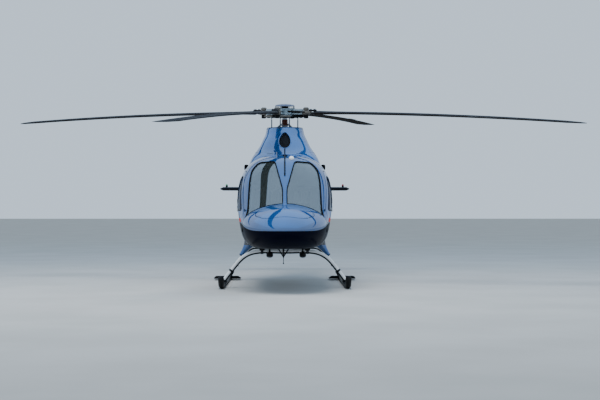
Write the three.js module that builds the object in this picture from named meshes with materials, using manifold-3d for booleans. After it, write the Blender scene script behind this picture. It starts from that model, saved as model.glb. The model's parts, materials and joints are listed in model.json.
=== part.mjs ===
// A light single-engine helicopter on skids, at full size, in millimetres.
// The nose points along -Y, the machine's left side is +X and up is +Z. The skids stand on z = 0.
// Inside the airframe group y = 0 is where the mast's foot stands, so that group is moved by MAST_Y.
import * as THREE from 'three';
import { mergeVertices } from 'three/addons/utils/BufferGeometryUtils.js';
import Module from 'manifold-3d';

const wasm = await Module();
wasm.setup();

// Driving dimensions
const MAST_Y = -1200;
const MAST_TILT = THREE.MathUtils.degToRad(3);
const GAP = 0.5;
const SKIN = 45;
const DOOR_GAP = 10;
const RING_SIDES = 28;

// Hull sections. Columns: y, half width, top z, breadth z, bottom z, power of the upper and lower curve
const HULL = [
  [-3950, 600, 1225, 985, 735, 1.9, 2.6],
  [-3600, 618, 1290, 1010, 712, 1.85, 2.8],
  [-3300, 640, 1340, 1040, 690, 1.8, 3.0],
  [-3000, 672, 1390, 1085, 672, 1.85, 3.5],
  [-2700, 722, 1640, 1160, 662, 2.1, 4.2],
  [-2400, 762, 1870, 1250, 657, 2.35, 4.8],
  [-2100, 784, 2065, 1330, 655, 2.55, 5.0],
  [-1800, 796, 2180, 1380, 655, 2.65, 5.0],
  [-1400, 802, 2245, 1400, 655, 2.7, 5.0],
  [-900, 802, 2265, 1400, 655, 2.7, 5.0],
  [0, 792, 2262, 1400, 655, 2.7, 5.0],
  [600, 748, 2245, 1450, 668, 2.6, 4.5],
  [1200, 640, 2215, 1550, 800, 2.5, 3.6],
  [1800, 470, 2175, 1690, 1130, 2.3, 2.8],
  [2400, 300, 2140, 1800, 1450, 2.2, 2.3],
];
const NOSE_TIP = -3950;
const NOSE_END = -3000;
const WALL = 40;
const AFT_START = 450;
const BOOM_START = 2400;
const FLANK_TAPER = 0.00017;
const FLOOR_TOP = 812;

// Tail boom sections. Columns: y, half width, top z, bottom z
const BOOM = [
  [2400, 300, 2140, 1450],
  [3100, 258, 2128, 1545],
  [4300, 208, 2115, 1650],
  [5400, 170, 2105, 1735],
  [6300, 138, 2098, 1800],
];
const BOOM_WALL = 16;

// Rotor
const ROTOR_RADIUS = 5415;
const HUB_Z = 3050;
const BLADE_ROOT = 780;
const BLADE_CHORD = 340;
const BLADE_DROOP = 195;
const FIRST_BLADE = THREE.MathUtils.degToRad(-19.3);

// Tail rotor and fins
const TAIL_ROTOR = { x: 330, y: 6516.87, z: 2020, radius: 970, chord: 200, turn: -90 };
const STABILIZER = { y: 4300, z: 1727, halfSpan: 1360, chord: 500, thick: 84 };

// Skid gear
const TRACK = 1040;
const SKID = { radius: 50, rear: 1300, bendStart: -2294, bendRadius: 300, bendAngle: 42, tip: 110 };
const CROSS = { radius: 36, front: -1950, rear: 620 };

// Half of each cross tube. Columns: x, z
const FRONT_TUBE = [[60, 600], [420, 600], [600, 560], [717, 486], [878, 300], [995, 145], [1042, 72]];
const REAR_TUBE = [[60, 605], [500, 605], [610, 590], [700, 525], [770, 450], [830, 372], [960, 205], [1042, 72]];

// Colours. Columns: colour, roughness, metalness
const finish = (color, roughness, metalness) => new THREE.MeshStandardMaterial({ color, roughness, metalness });
const PAINT = finish(0x1b3f77, 0.25, 0.35);
const DARK_PAINT = finish(0x141c2b, 0.35, 0.2);
const WHITE = finish(0xdfe2e4, 0.4, 0);
const BLACK = finish(0x17181a, 0.6, 0);
const STEEL = finish(0x9a9ea3, 0.35, 0.9);
const GREY = finish(0x6d7176, 0.5, 0.3);
const BLADE = finish(0x24272b, 0.55, 0);
const LEATHER = finish(0x8a7f72, 0.7, 0);
const GLASS = finish(0x9fb4b8, 0.05, 0);
GLASS.transparent = true;
GLASS.opacity = 0.35;
const LAMP = finish(0xc9ced2, 0.15, 0.4);

const airframe = new THREE.Group();
airframe.position.y = MAST_Y;

// Solids and meshes
function solid(geometry) {
  const bare = geometry.index ? geometry.clone() : geometry;
  bare.deleteAttribute('normal');
  bare.deleteAttribute('uv');
  const merged = mergeVertices(bare, 1e-3);
  return new wasm.Manifold(new wasm.Mesh({
    numProp: 3,
    vertProperties: new Float32Array(merged.attributes.position.array),
    triVerts: new Uint32Array(merged.index.array),
  }));
}

function geometryOf(body) {
  const { numProp, vertProperties, triVerts } = body.getMesh();
  const positions = new Float32Array((vertProperties.length / numProp) * 3);
  for (let i = 0; i < positions.length / 3; i += 1) {
    positions.set(vertProperties.subarray(i * numProp, i * numProp + 3), i * 3);
  }
  const geometry = new THREE.BufferGeometry();
  geometry.setAttribute('position', new THREE.BufferAttribute(positions, 3));
  geometry.setIndex(new THREE.BufferAttribute(new Uint32Array(triVerts), 1));
  return geometry;
}

function add(name, body, material, parent = airframe) {
  const geometry = geometryOf(body);
  geometry.computeVertexNormals();
  const mesh = new THREE.Mesh(geometry, material);
  mesh.name = name;
  parent.add(mesh);
  return mesh;
}

function join(bodies) {
  return bodies.reduce((sum, body) => sum.add(body));
}

function mirrored(body) {
  return body.mirror([1, 0, 0]);
}

// A closed body through rings with the same number of points
function loft(rings) {
  const count = rings[0].length;
  const positions = rings.flat().flatMap((p) => [p.x, p.y, p.z]);
  const index = [];
  for (let r = 0; r + 1 < rings.length; r += 1) {
    for (let k = 0; k < count; k += 1) {
      const a = r * count + k;
      const b = r * count + ((k + 1) % count);
      index.push(a, b, b + count, a, b + count, a + count);
    }
  }
  const last = (rings.length - 1) * count;
  for (let k = 1; k + 1 < count; k += 1) {
    index.push(0, k + 1, k);
    index.push(last, last + k, last + k + 1);
  }
  const geometry = new THREE.BufferGeometry();
  geometry.setAttribute('position', new THREE.Float32BufferAttribute(positions, 3));
  geometry.setIndex(index);
  const body = solid(geometry);
  if (body.volume() > 0) return body;
  for (let i = 0; i < index.length; i += 3) [index[i + 1], index[i + 2]] = [index[i + 2], index[i + 1]];
  geometry.setIndex(index);
  return solid(geometry);
}

function box(x0, x1, y0, y1, z0, z1) {
  const geometry = new THREE.BoxGeometry(x1 - x0, y1 - y0, z1 - z0);
  geometry.translate((x0 + x1) / 2, (y0 + y1) / 2, (z0 + z1) / 2);
  return solid(geometry);
}

// A turned body. Profile rows are radius and height along the axis, which points along `axis` from `at`
function turned(profile, sides, at = [0, 0, 0], axis = [0, 0, 1]) {
  const geometry = new THREE.LatheGeometry(profile.map(([r, h]) => new THREE.Vector2(r, h)), sides);
  const turn = new THREE.Quaternion().setFromUnitVectors(
    new THREE.Vector3(0, 1, 0), new THREE.Vector3(...axis).normalize());
  geometry.applyQuaternion(turn);
  geometry.translate(...at);
  return solid(geometry);
}

function rod(from, to, radius, sides = 10) {
  const a = new THREE.Vector3(...from);
  const b = new THREE.Vector3(...to);
  const length = a.distanceTo(b);
  return turned([[0, 0], [radius, 0], [radius, length], [0, length]], sides, from, b.sub(a).toArray());
}

// A closed outline with rounded corners. Corner rows are u, v and radius
function outline(corners, grow = 0) {
  const count = corners.length;
  const points = corners.map(([u, v]) => new THREE.Vector2(u, v));
  const area = THREE.ShapeUtils.area(points);
  const side = (i) => {
    const a = points[i];
    const b = points[(i + 1) % count];
    const along = b.clone().sub(a).normalize();
    const out = new THREE.Vector2(along.y, -along.x).multiplyScalar(Math.sign(area) * grow);
    return { start: a.clone().add(out), along };
  };
  const moved = points.map((_, i) => {
    const before = side((i + count - 1) % count);
    const after = side(i);
    const cross = before.along.cross(after.along);
    const t = after.start.clone().sub(before.start).cross(after.along) / cross;
    return before.start.clone().addScaledVector(before.along, t);
  });
  const shape = new THREE.Shape();
  moved.forEach((corner, i) => {
    const before = moved[(i + count - 1) % count];
    const after = moved[(i + 1) % count];
    const reach = Math.min(corners[i][2] + grow, corner.distanceTo(before) * 0.45, corner.distanceTo(after) * 0.45);
    const start = corner.clone().lerp(before, reach / corner.distanceTo(before));
    const end = corner.clone().lerp(after, reach / corner.distanceTo(after));
    if (i === 0) shape.moveTo(start.x, start.y);
    else shape.lineTo(start.x, start.y);
    shape.quadraticCurveTo(corner.x, corner.y, end.x, end.y);
  });
  shape.closePath();
  return shape;
}

// A prism from a side outline in y and z, reaching from x0 to x1
function sidePrism(corners, x0, x1, grow = 0) {
  const geometry = new THREE.ExtrudeGeometry(outline(corners, grow),
    { depth: x1 - x0, bevelEnabled: false, curveSegments: 3 });
  geometry.applyMatrix4(new THREE.Matrix4().makeBasis(
    new THREE.Vector3(0, 1, 0), new THREE.Vector3(0, 0, 1), new THREE.Vector3(1, 0, 0)));
  geometry.translate(x0, 0, 0);
  return solid(geometry);
}

// A prism from a shape that stands in x and z, reaching from y0 to y1
function standing(shape, y0, y1) {
  const geometry = new THREE.ExtrudeGeometry(shape, { depth: y1 - y0, bevelEnabled: false, curveSegments: 3 });
  geometry.rotateX(Math.PI / 2);
  geometry.translate(0, y1, 0);
  return solid(geometry);
}

function frontPrism(corners, y0, y1, grow = 0) {
  return standing(outline(corners, grow), y0, y1);
}

// A prism from a plan outline in x and y, reaching from z0 to z1
function planPrism(corners, z0, z1, grow = 0) {
  const geometry = new THREE.ExtrudeGeometry(outline(corners, grow),
    { depth: z1 - z0, bevelEnabled: false, curveSegments: 3 });
  geometry.translate(0, 0, z0);
  return solid(geometry);
}

// Evenly spaced points on a smooth curve through the given ones
function smooth(points, steps) {
  const curve = new THREE.CatmullRomCurve3(points.map((p) => new THREE.Vector3(...p)), false, 'centripetal');
  return curve.getSpacedPoints(steps);
}

// A tube with a ring at each point of its route, closed at both ends
function tube(route, radius, sides = 12, squash = 1) {
  return loft(route.map((at, i) => {
    const along = route[Math.min(i + 1, route.length - 1)].clone().sub(route[Math.max(i - 1, 0)]).normalize();
    const up = Math.abs(along.z) > 0.9 ? new THREE.Vector3(0, 1, 0) : new THREE.Vector3(0, 0, 1);
    const across = new THREE.Vector3().crossVectors(along, up).normalize();
    const lift = new THREE.Vector3().crossVectors(across, along);
    return Array.from({ length: sides }, (_, k) => {
      const a = ((k + 0.5) / sides) * 2 * Math.PI;
      return at.clone().addScaledVector(across, radius * squash * Math.cos(a))
        .addScaledVector(lift, radius * Math.sin(a));
    });
  }));
}

// Values of a section table at y, on a smooth curve through its rows
function tableAt(table, y) {
  const last = table.length - 1;
  let i = 0;
  while (i < last - 1 && y > table[i + 1][0]) i += 1;
  const step = table[i + 1][0] - table[i][0];
  const u = THREE.MathUtils.clamp((y - table[i][0]) / step, 0, 1);
  const slope = (row, column) => {
    const before = table[Math.max(0, row - 1)];
    const after = table[Math.min(last, row + 1)];
    return (after[column] - before[column]) / (after[0] - before[0]);
  };
  return table[i].slice(1).map((value, k) => {
    const column = k + 1;
    const next = table[i + 1][column];
    return (2 * u ** 3 - 3 * u ** 2 + 1) * value + (u ** 3 - 2 * u ** 2 + u) * step * slope(i, column)
      + (3 * u ** 2 - 2 * u ** 3) * next + (u ** 3 - u ** 2) * step * slope(i + 1, column);
  });
}

const signedPower = (value, power) => Math.sign(value) * Math.abs(value) ** power;

// One hull section at y, moved inwards by inset. The nose closes along an ellipse
function hullRing(y, inset) {
  const [half, top, middle, bottom, upper, lower] = tableAt(HULL, y);
  const tip = NOSE_TIP + inset;
  const close = y < NOSE_END ? Math.sqrt(Math.max(0, 1 - ((NOSE_END - y) / (NOSE_END - tip)) ** 2)) : 1;
  const ring = [];
  for (let k = 0; k < RING_SIDES; k += 1) {
    const a = ((k + 0.5) / RING_SIDES) * 2 * Math.PI;
    const power = 2 / (Math.sin(a) > 0 ? upper : lower);
    const reach = Math.sin(a) > 0 ? top - middle - inset : middle - bottom - inset;
    const z = reach * signedPower(Math.sin(a), power);
    const taper = z < 0 ? 1 + z * FLANK_TAPER : 1;
    ring.push(new THREE.Vector3((half - inset) * taper * signedPower(Math.cos(a), power) * close, y, middle + z * close));
  }
  return ring;
}

// The hull as a solid from the nose or y0 to y1
function hull(inset, y0 = NOSE_TIP, y1 = BOOM_START) {
  const stations = HULL.map((row) => row[0]).filter((y) => y > Math.max(y0, NOSE_END) + 1 && y < y1 - 1);
  if (y0 <= NOSE_TIP) {
    const reach = NOSE_END - NOSE_TIP - inset;
    stations.push(NOSE_END, ...[0.3, 0.55, 0.75, 0.88, 0.96, 0.995].map((v) => NOSE_END - v * reach));
  } else {
    stations.push(y0);
  }
  stations.push(y1);
  stations.sort((a, b) => a - b);
  return loft(stations.map((y) => hullRing(y, inset)));
}

const OUTER = hull(0);
const CLEAR = hull(-GAP, NOSE_TIP, BOOM_START + 1);
const INNER = hull(SKIN, NOSE_TIP, BOOM_START - SKIN);
const SHELL = OUTER.subtract(INNER);

// A thin pane in the middle of the skin
const PANE = hull(14).subtract(hull(24));
const BIG = 2000;
const slice = (body, y0, y1) => body.intersect(box(-BIG, BIG, y0, y1, 0, 4000));

// Outlines of doors, windows and lids. Corner rows are y, z and radius
const CREW_DOOR = [[-2790, 830, 60], [-2855, 1240, 120], [-2020, 1860, 120], [-1870, 1945, 60], [-1635, 1945, 60],
  [-1635, 830, 60]];
const CREW_WINDOW = [[-2700, 1290, 60], [-2030, 1790, 100], [-1900, 1860, 60], [-1735, 1860, 60], [-1735, 1290, 60]];
const CABIN_DOOR = [[-1550, 830, 60], [-1550, 1945, 60], [-360, 1945, 100], [-360, 830, 100]];
const CABIN_WINDOW = [[-1450, 1290, 70], [-1450, 1850, 70], [-470, 1850, 100], [-470, 1290, 90]];
const AFT_WINDOW = [[-220, 1330, 70], [-220, 1830, 80], [250, 1800, 120], [250, 1360, 90]];
const BAGGAGE_DOOR = [[560, 1010, 50], [560, 1560, 50], [1130, 1560, 50], [1130, 1010, 50]];

// Front outline of one windshield. Corner rows are x, z and radius
const WINDSHIELD = [[34, 1140, 5], [34, 1640, 60], [165, 2115, 50], [440, 2095, 60], [555, 1960, 60], [588, 1760, 60],
  [600, 1300, 60], [640, 1140, 10]];
const WINDSHIELD_FRONT = -2990;
const WINDSHIELD_REAR = -1990;

// Plan outline of the nose bay's lid. Corner rows are x, y and radius
const NOSE_LID = [[-430, -3120, 60], [430, -3120, 60], [470, -3350, 80], [300, -3700, 160], [-300, -3700, 160],
  [-470, -3350, 80]];

const NOSE_HINGE = [-3120, 1370];
const NOSE_LID_TILT = 23;

function noseAndCabin() {
  const lidPrism = (grow) => planPrism(NOSE_LID, -260, 300, grow).translate([0, -NOSE_HINGE[0], 0])
    .rotate([NOSE_LID_TILT, 0, 0]).translate([0, ...NOSE_HINGE]);
  const nose = slice(OUTER, NOSE_TIP - 1, NOSE_END).subtract(slice(INNER, NOSE_TIP, NOSE_END - WALL));
  add('nose_shell', nose.subtract(lidPrism(DOOR_GAP)), PAINT);
  add('nose_bay_lid', SHELL.intersect(lidPrism(0)), PAINT);

  const windshield = frontPrism(WINDSHIELD, WINDSHIELD_FRONT, WINDSHIELD_REAR);
  const windshieldCut = frontPrism(WINDSHIELD, WINDSHIELD_FRONT, WINDSHIELD_REAR, GAP);
  const cuts = [];
  const sides = [[1, ''], [-1, '']];
  sides.forEach(([sign]) => {
    const place = (body) => (sign > 0 ? body : mirrored(body));
    cuts.push(place(windshieldCut));
    cuts.push(place(sidePrism(CREW_DOOR, 100, BIG, DOOR_GAP)));
    cuts.push(place(sidePrism(CABIN_DOOR, 100, BIG, DOOR_GAP)));
    cuts.push(place(sidePrism(AFT_WINDOW, 100, BIG, GAP)));
    const side = sign > 0 ? 'left' : 'right';
    add(`windshield_${side}`, place(PANE.intersect(windshield)), GLASS);
    const crew = SHELL.intersect(sidePrism(CREW_DOOR, 100, BIG)).subtract(sidePrism(CREW_WINDOW, 100, BIG, GAP));
    const handle = box(770, 816, -1722, -1664, 1262, 1372);
    add(`crew_door_${side}`, place(crew.add(handle)), PAINT);
    add(`crew_window_${side}`, place(PANE.intersect(sidePrism(CREW_WINDOW, 100, BIG))), GLASS);
    const cabin = SHELL.intersect(sidePrism(CABIN_DOOR, 100, BIG)).subtract(sidePrism(CABIN_WINDOW, 100, BIG, GAP));
    add(`cabin_door_${side}`, place(cabin), PAINT);
    add(`cabin_window_${side}`, place(PANE.intersect(sidePrism(CABIN_WINDOW, 100, BIG))), GLASS);
    add(`aft_window_${side}`, place(PANE.intersect(sidePrism(AFT_WINDOW, 100, BIG))), GLASS);
  });
  const frame = cuts.reduce((body, cut) => body.subtract(cut), slice(SHELL, NOSE_END + GAP, AFT_START));
  add('cabin_frame', frame, PAINT);
}

function aftFuselage() {
  const bay = sidePrism(BAGGAGE_DOOR, 100, BIG, DOOR_GAP);
  const doorTurn = 11;
  const turn = (body) => body.translate([-700, -560, 0]).rotate([0, 0, doorTurn]).translate([700, 560, 0]);
  const shell = slice(OUTER, AFT_START + GAP, BOOM_START).subtract(slice(INNER, AFT_START + WALL, BOOM_START - WALL));
  add('aft_fuselage', shell.subtract(turn(bay)), PAINT);
  add('baggage_door', SHELL.intersect(turn(sidePrism(BAGGAGE_DOOR, 100, BIG))), PAINT);
}

function boomRing(y, inset) {
  const [half, top, bottom] = tableAt(BOOM, y);
  const ring = [];
  const sides = 16;
  for (let k = 0; k < sides; k += 1) {
    const a = ((k + 0.5) / sides) * 2 * Math.PI;
    ring.push(new THREE.Vector3((half - inset) * signedPower(Math.cos(a), 0.87), y,
      (top + bottom) / 2 + ((top - bottom) / 2 - inset) * signedPower(Math.sin(a), 0.87)));
  }
  return ring;
}

function boom(inset, y0, y1) {
  const stations = BOOM.map((row) => row[0]).filter((y) => y > y0 + 1 && y < y1 - 1);
  return loft([y0, ...stations, y1].map((y) => boomRing(y, inset)));
}

// Upper works: rings seen from above, at heights z, rounded in front and flat behind
// Columns: z, half width, front y, rear y
const PYLON = [
  [2060, 632, -1350, 420],
  [2230, 562, -1160, 420],
  [2310, 516, -990, 420],
  [2440, 438, -800, 420],
  [2540, 396, -680, 420],
  [2660, 348, -530, 420],
  [2745, 330, -440, 420],
  [2770, 318, -405, 420],
];
const PYLON_WALL = 18;
const PYLON_TOP = 2770;

function pylonRing([z, half, front, rear], inset) {
  const ring = [];
  const depth = 420;
  const steps = 12;
  for (let k = 0; k <= steps; k += 1) {
    const a = Math.PI + (k / steps) * Math.PI;
    ring.push(new THREE.Vector3((half - inset) * signedPower(Math.cos(a), 0.8),
      front + inset + depth + (depth - inset) * signedPower(Math.sin(a), 0.8), z));
  }
  ring.push(new THREE.Vector3(half - inset, rear, z));
  ring.push(new THREE.Vector3(-(half - inset), rear, z));
  return ring;
}

const PYLON_OUTER = loft(PYLON.map((row) => pylonRing(row, 0)));
const PYLON_INNER = loft([[2000, 632, -1350, 420], ...PYLON.slice(1), [PYLON_TOP + 20, 318, -405, 420]]
  .map((row) => pylonRing(row, PYLON_WALL)));

// Engine cowling sections. Columns: y, half width, top z, bottom z
const COWL = [
  [420, 340, 2755, 2000],
  [900, 372, 2745, 2000],
  [1400, 362, 2690, 2000],
  [1900, 300, 2560, 2000],
  [2200, 225, 2415, 2000],
  [2390, 150, 2262, 2000],
];
const COWL_WALL = 16;

function cowlRing(y, inset) {
  const [half, top, bottom] = tableAt(COWL, y);
  const ring = [];
  const steps = 14;
  for (let k = 0; k <= steps; k += 1) {
    const a = (k / steps) * Math.PI;
    ring.push(new THREE.Vector3((half - inset) * signedPower(Math.cos(a), 0.75), y,
      2250 + (top - inset - 2250) * signedPower(Math.sin(a), 0.75)));
  }
  ring.push(new THREE.Vector3(-(half - inset), y, bottom));
  ring.push(new THREE.Vector3(half - inset, y, bottom));
  return ring;
}

function cowl(inset, y0, y1) {
  const stations = COWL.map((row) => row[0]).filter((y) => y > y0 + 1 && y < y1 - 1);
  return loft([y0, ...stations, y1].map((y) => cowlRing(y, inset)));
}

const COWL_DOOR = [[640, 2300, 40], [640, 2610, 40], [1500, 2570, 40], [1500, 2300, 40]];
const INLET = { z: 2500, half: 103, up: 168, down: 123, front: -1000, rear: -300 };
const EXHAUST = { y: 1980, z: 2480, radius: 135 };

// The egg-shaped prism of the air inlet in the pylon's front, narrower at its top
function inletPrism(grow) {
  const points = [];
  const steps = 24;
  for (let k = 0; k < steps; k += 1) {
    const a = (k / steps) * 2 * Math.PI;
    const rise = Math.sin(a) * (grow + (Math.sin(a) > 0 ? INLET.up : INLET.down));
    const narrow = 1 - 0.22 * Math.max(Math.sin(a), 0) ** 2;
    points.push(new THREE.Vector2((INLET.half + grow) * narrow * Math.cos(a), INLET.z + rise));
  }
  return standing(new THREE.Shape(points), INLET.front, INLET.rear);
}

function upperWorks() {
  const pylon = PYLON_OUTER.subtract(PYLON_INNER).subtract(CLEAR).subtract(inletPrism(0))
    .intersect(box(-BIG, BIG, -1500, 420, 2000, 3000));
  add('pylon_fairing', pylon, PAINT);
  const recess = PYLON_OUTER.translate([0, 30, 0]).subtract(PYLON_OUTER.translate([0, 44, 0]));
  add('inlet_screen', recess.intersect(inletPrism(-GAP)).intersect(PYLON_OUTER), BLACK);

  const shell = cowl(0, 420 + GAP, 2390).subtract(cowl(COWL_WALL, 380, 2340)).subtract(CLEAR);
  const opening = sidePrism(COWL_DOOR, 100, BIG, DOOR_GAP);
  const port = turned([[0, -160], [EXHAUST.radius + 12, -160], [EXHAUST.radius + 12, 700], [0, 700]], 20,
    [0, EXHAUST.y, EXHAUST.z], [0, 0.83, 0.56]);
  const cowling = shell.subtract(opening).subtract(mirrored(opening)).subtract(port);
  add('engine_cowling', cowling, PAINT);
  const door = shell.intersect(sidePrism(COWL_DOOR, 100, BIG));
  add('cowl_door_left', door, PAINT);
  add('cowl_door_right', mirrored(door), PAINT);
  add('exhaust', turned([[EXHAUST.radius - 14, -120], [EXHAUST.radius, -120], [EXHAUST.radius, 250],
    [EXHAUST.radius - 14, 250], [EXHAUST.radius - 14, -120]], 20, [0, EXHAUST.y, EXHAUST.z], [0, 0.83, 0.56]), STEEL);
  const duct = turned([[0, -150], [EXHAUST.radius - 14 - GAP, -150], [EXHAUST.radius - 14 - GAP, -60], [0, -60]], 20,
    [0, EXHAUST.y, EXHAUST.z], [0, 0.83, 0.56]);
  add('engine_and_gearbox', join([box(-190, 190, 600, 1520, 2290, 2540), box(-40, 40, 300, 620, 2380, 2460),
    box(-220, 220, -330, 330, 2200, 2560), box(-150, 150, 640, 720, 2100, 2300), box(-150, 150, 1390, 1470, 2100, 2300),
    box(-60, 60, 1500, 1880, 2320, 2420), duct]).subtract(CLEAR), GREY);
}

// Tail
function airfoil(chord, thick, points = 10) {
  const ring = [];
  for (let k = 0; k < points; k += 1) {
    const a = (k / points) * 2 * Math.PI;
    const u = (1 + Math.cos(a)) / 2;
    ring.push([(0.5 - u) * chord, thick * 0.5 * Math.sin(a) * (1 - 0.55 * u) * 1.25]);
  }
  return ring;
}

// A tapered wing from rows of: leading edge point, chord, thickness. Chord runs along +Y, `across` is its thickness
function wing(rows, across) {
  return loft(rows.map(({ at, chord, thick }) => airfoil(chord, thick).map(([u, t]) => new THREE.Vector3(...at)
    .add(new THREE.Vector3(0, chord / 2 - u, 0)).addScaledVector(across, t))));
}

function fins() {
  const end = BOOM[BOOM.length - 1][0];
  const side = new THREE.Vector3(1, 0, 0);
  const upright = new THREE.Vector3(0, 0, 1);
  const hollow = boom(0, BOOM_START + GAP, end).subtract(boom(BOOM_WALL, BOOM_START - 10, end - 40));
  add('tail_boom', hollow, PAINT);
  const boomClear = boom(-GAP, BOOM_START, end + GAP);
  const fin = wing([
    { at: [0, 6020, 1960], chord: 900, thick: 130 },
    { at: [0, 6120, 2120], chord: 840, thick: 120 },
    { at: [0, 6780, 3040], chord: 480, thick: 70 },
    { at: [0, 6860, 3120], chord: 380, thick: 40 },
  ], side);
  const lowerFin = wing([
    { at: [0, 6020, 1955], chord: 900, thick: 120 },
    { at: [0, 6200, 1700], chord: 700, thick: 100 },
    { at: [0, 6560, 1060], chord: 440, thick: 60 },
    { at: [0, 6640, 980], chord: 330, thick: 30 },
  ], side);
  const podBody = (grow) => turned([[0, -330], [70, -310], [120, -220], [128, 0], [110, 160], [40, 270], [0, 285]]
    .map(([r, h]) => [r > 0 ? r + grow : 0, h]), 14, [0, 6480, 2010], [0, 1, 0]);
  const pod = podBody(0);
  const split = 1958;
  add('upper_fin', fin.subtract(box(-BIG, BIG, 0, 9000, 0, split)).subtract(boomClear).add(pod.subtract(boomClear)),
    PAINT);
  const guard = tube(smooth([[0, 6560, 1120], [0, 6700, 900], [0, 7000, 760], [0, 7330, 790]], 8), 16, 8);
  add('lower_fin', lowerFin.subtract(box(-BIG, BIG, 0, 9000, split - GAP, 4000)).subtract(boomClear)
    .subtract(podBody(GAP)).add(guard), PAINT);
  const half = STABILIZER.halfSpan;
  const stab = wing([
    { at: [80, STABILIZER.y - 250, STABILIZER.z], chord: STABILIZER.chord, thick: STABILIZER.thick },
    { at: [half - 70, STABILIZER.y - 230, STABILIZER.z], chord: 470, thick: 76 },
    { at: [half, STABILIZER.y - 170, STABILIZER.z], chord: 340, thick: 28 },
  ], upright).subtract(boomClear)
    .add(turned([[0, 0], [24, 0], [24, 60], [14, 84], [0, 90]], 12, [half - 140, STABILIZER.y, STABILIZER.z + 14]));
  add('stabilizer_left', stab, DARK_PAINT);
  add('stabilizer_right', mirrored(stab), DARK_PAINT);
}

function tailRotor() {
  const { x, y, z, radius, chord, turn } = TAIL_ROTOR;
  const shaft = turned([[0, 0], [34, 0], [34, x + 30], [0, x + 30]], 12, [130, y, z], [1, 0, 0]);
  const blades = [0, 1].map((i) => {
    const blade = loft([[110, 0.45, 26], [260, 1, 24], [radius - 60, 1, 18], [radius, 0.75, 10]].map(([r, c, thick]) =>
      airfoil(chord * c, thick).map(([u, t]) => new THREE.Vector3(x + t, u, r))));
    return blade.rotate([i * 180 + turn, 0, 0]).translate([0, y, z]);
  });
  const hub = box(x - 45, x + 45, y - 60, y + 60, z - 60, z + 60);
  const arms = box(x - 18, x + 18, -34, 34, -180, 180).rotate([turn, 0, 0]).translate([0, y, z]);
  add('tail_rotor', join([shaft.intersect(box(140, BIG, 0, 9000, 0, 4000)), hub, arms, ...blades]), BLADE);
}

// Main rotor, in a group whose +Z is the mast's axis
const rotor = new THREE.Group();
rotor.rotation.x = MAST_TILT;
rotor.position.set(0, 0, HUB_Z);
airframe.add(rotor);

function bladeBody() {
  const rows = [
    { r: 560, chord: 150, thick: 70, sweep: 0 },
    { r: BLADE_ROOT, chord: 190, thick: 60, sweep: 0 },
    { r: 1150, chord: BLADE_CHORD, thick: 52, sweep: 0 },
    { r: 2600, chord: BLADE_CHORD, thick: 50, sweep: 0 },
    { r: 4000, chord: BLADE_CHORD, thick: 46, sweep: 0 },
    { r: 5050, chord: BLADE_CHORD, thick: 40, sweep: 0 },
    { r: 5300, chord: 260, thick: 26, sweep: 40 },
    { r: ROTOR_RADIUS, chord: 150, thick: 12, sweep: 95 },
  ];
  return loft(rows.map(({ r, chord, thick, sweep }) => airfoil(chord, thick).map(([u, t]) =>
    new THREE.Vector3(r, u - sweep, t - BLADE_DROOP * (r / ROTOR_RADIUS) ** 2))));
}

// Where the pitch links stand, and the blades' horns that they push, in the rotor's group
const LINK = { lead: 38.6, reach: 250, foot: -345, horn: -66 };

// The housing at a blade's root: bearing block, clamp block and pitch horn
function bladeRoot() {
  const lead = THREE.MathUtils.degToRad(LINK.lead);
  const horn = [LINK.reach * Math.cos(lead), LINK.reach * Math.sin(lead), LINK.horn];
  return join([
    turned([[0, -105], [30, -105], [46, -90], [46, -50], [34, -40], [34, 40], [54, 46], [54, 82], [32, 98], [0, 98]],
      14, [404, 0, 0]),
    box(346, 470, -62, 62, -40, 62),
    box(465, 600, -50, 50, -24, 56),
    box(420, 520, -118, -50, -22, 22),
    rod([385, 20, LINK.horn], horn, 14, 8),
    turned([[0, -15], [24, -15], [24, 15], [0, 15]], 10, horn),
    bladeBody(),
  ]);
}

function mainRotor() {
  const hub = [
    turned([[0, -70], [140, -70], [165, -34], [165, 62], [196, 62], [196, 74], [60, 74], [52, 112], [0, 112]], 24),
  ];
  const star = [turned([[0, LINK.foot - 130], [48, LINK.foot - 130], [48, LINK.foot - 16], [150, LINK.foot - 16],
    [158, LINK.foot], [150, LINK.foot + 16], [60, LINK.foot + 16], [48, -200], [48, -70 - GAP], [0, -70 - GAP]], 20)];
  for (let i = 0; i < 4; i += 1) {
    const turn = (FIRST_BLADE * 180) / Math.PI + i * 90;
    const place = (body, more = 0) => body.rotate([0, 0, turn + more]);
    add(`main_blade_${i + 1}`, place(bladeRoot()), BLADE, rotor);
    hub.push(place(join([
      box(60, 345, -58, 58, -34, 58),
      box(70, 165, -150, -20, -20, 40),
      rod([130, -124, 20], [412, -98, 8], 22, 8),
    ])));
    hub.push(...[0, 45].map((more) => place(turned([[0, 70], [11, 70], [11, 112], [0, 112]], 8, [178, 0, 0]), more)));
    star.push(place(join([
      box(130, LINK.reach + 14, -20, 20, LINK.foot - 14, LINK.foot + 14),
      rod([LINK.reach, 0, LINK.foot], [LINK.reach, 0, LINK.horn - 15 - GAP], 11, 8),
    ]), LINK.lead));
  }
  add('rotor_hub', join(hub), STEEL, rotor);
  add('rotor_cap', turned([[0, 112 + GAP], [172, 112 + GAP], [180, 122], [150, 143], [90, 156], [0, 162]], 24), GREY,
    rotor);
  add('mast', join(star), STEEL, rotor);
}

// Skid gear
// Rings of the fairing over a rear leg. Columns: x, z, half thickness across the leg, half width along y
const LEG_FAIRING = [
  [630, 745, 120, 150],
  [672, 655, 92, 120],
  [722, 578, 62, 95],
  [778, 500, 42, 70],
  [818, 448, 32, 52],
];

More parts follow.
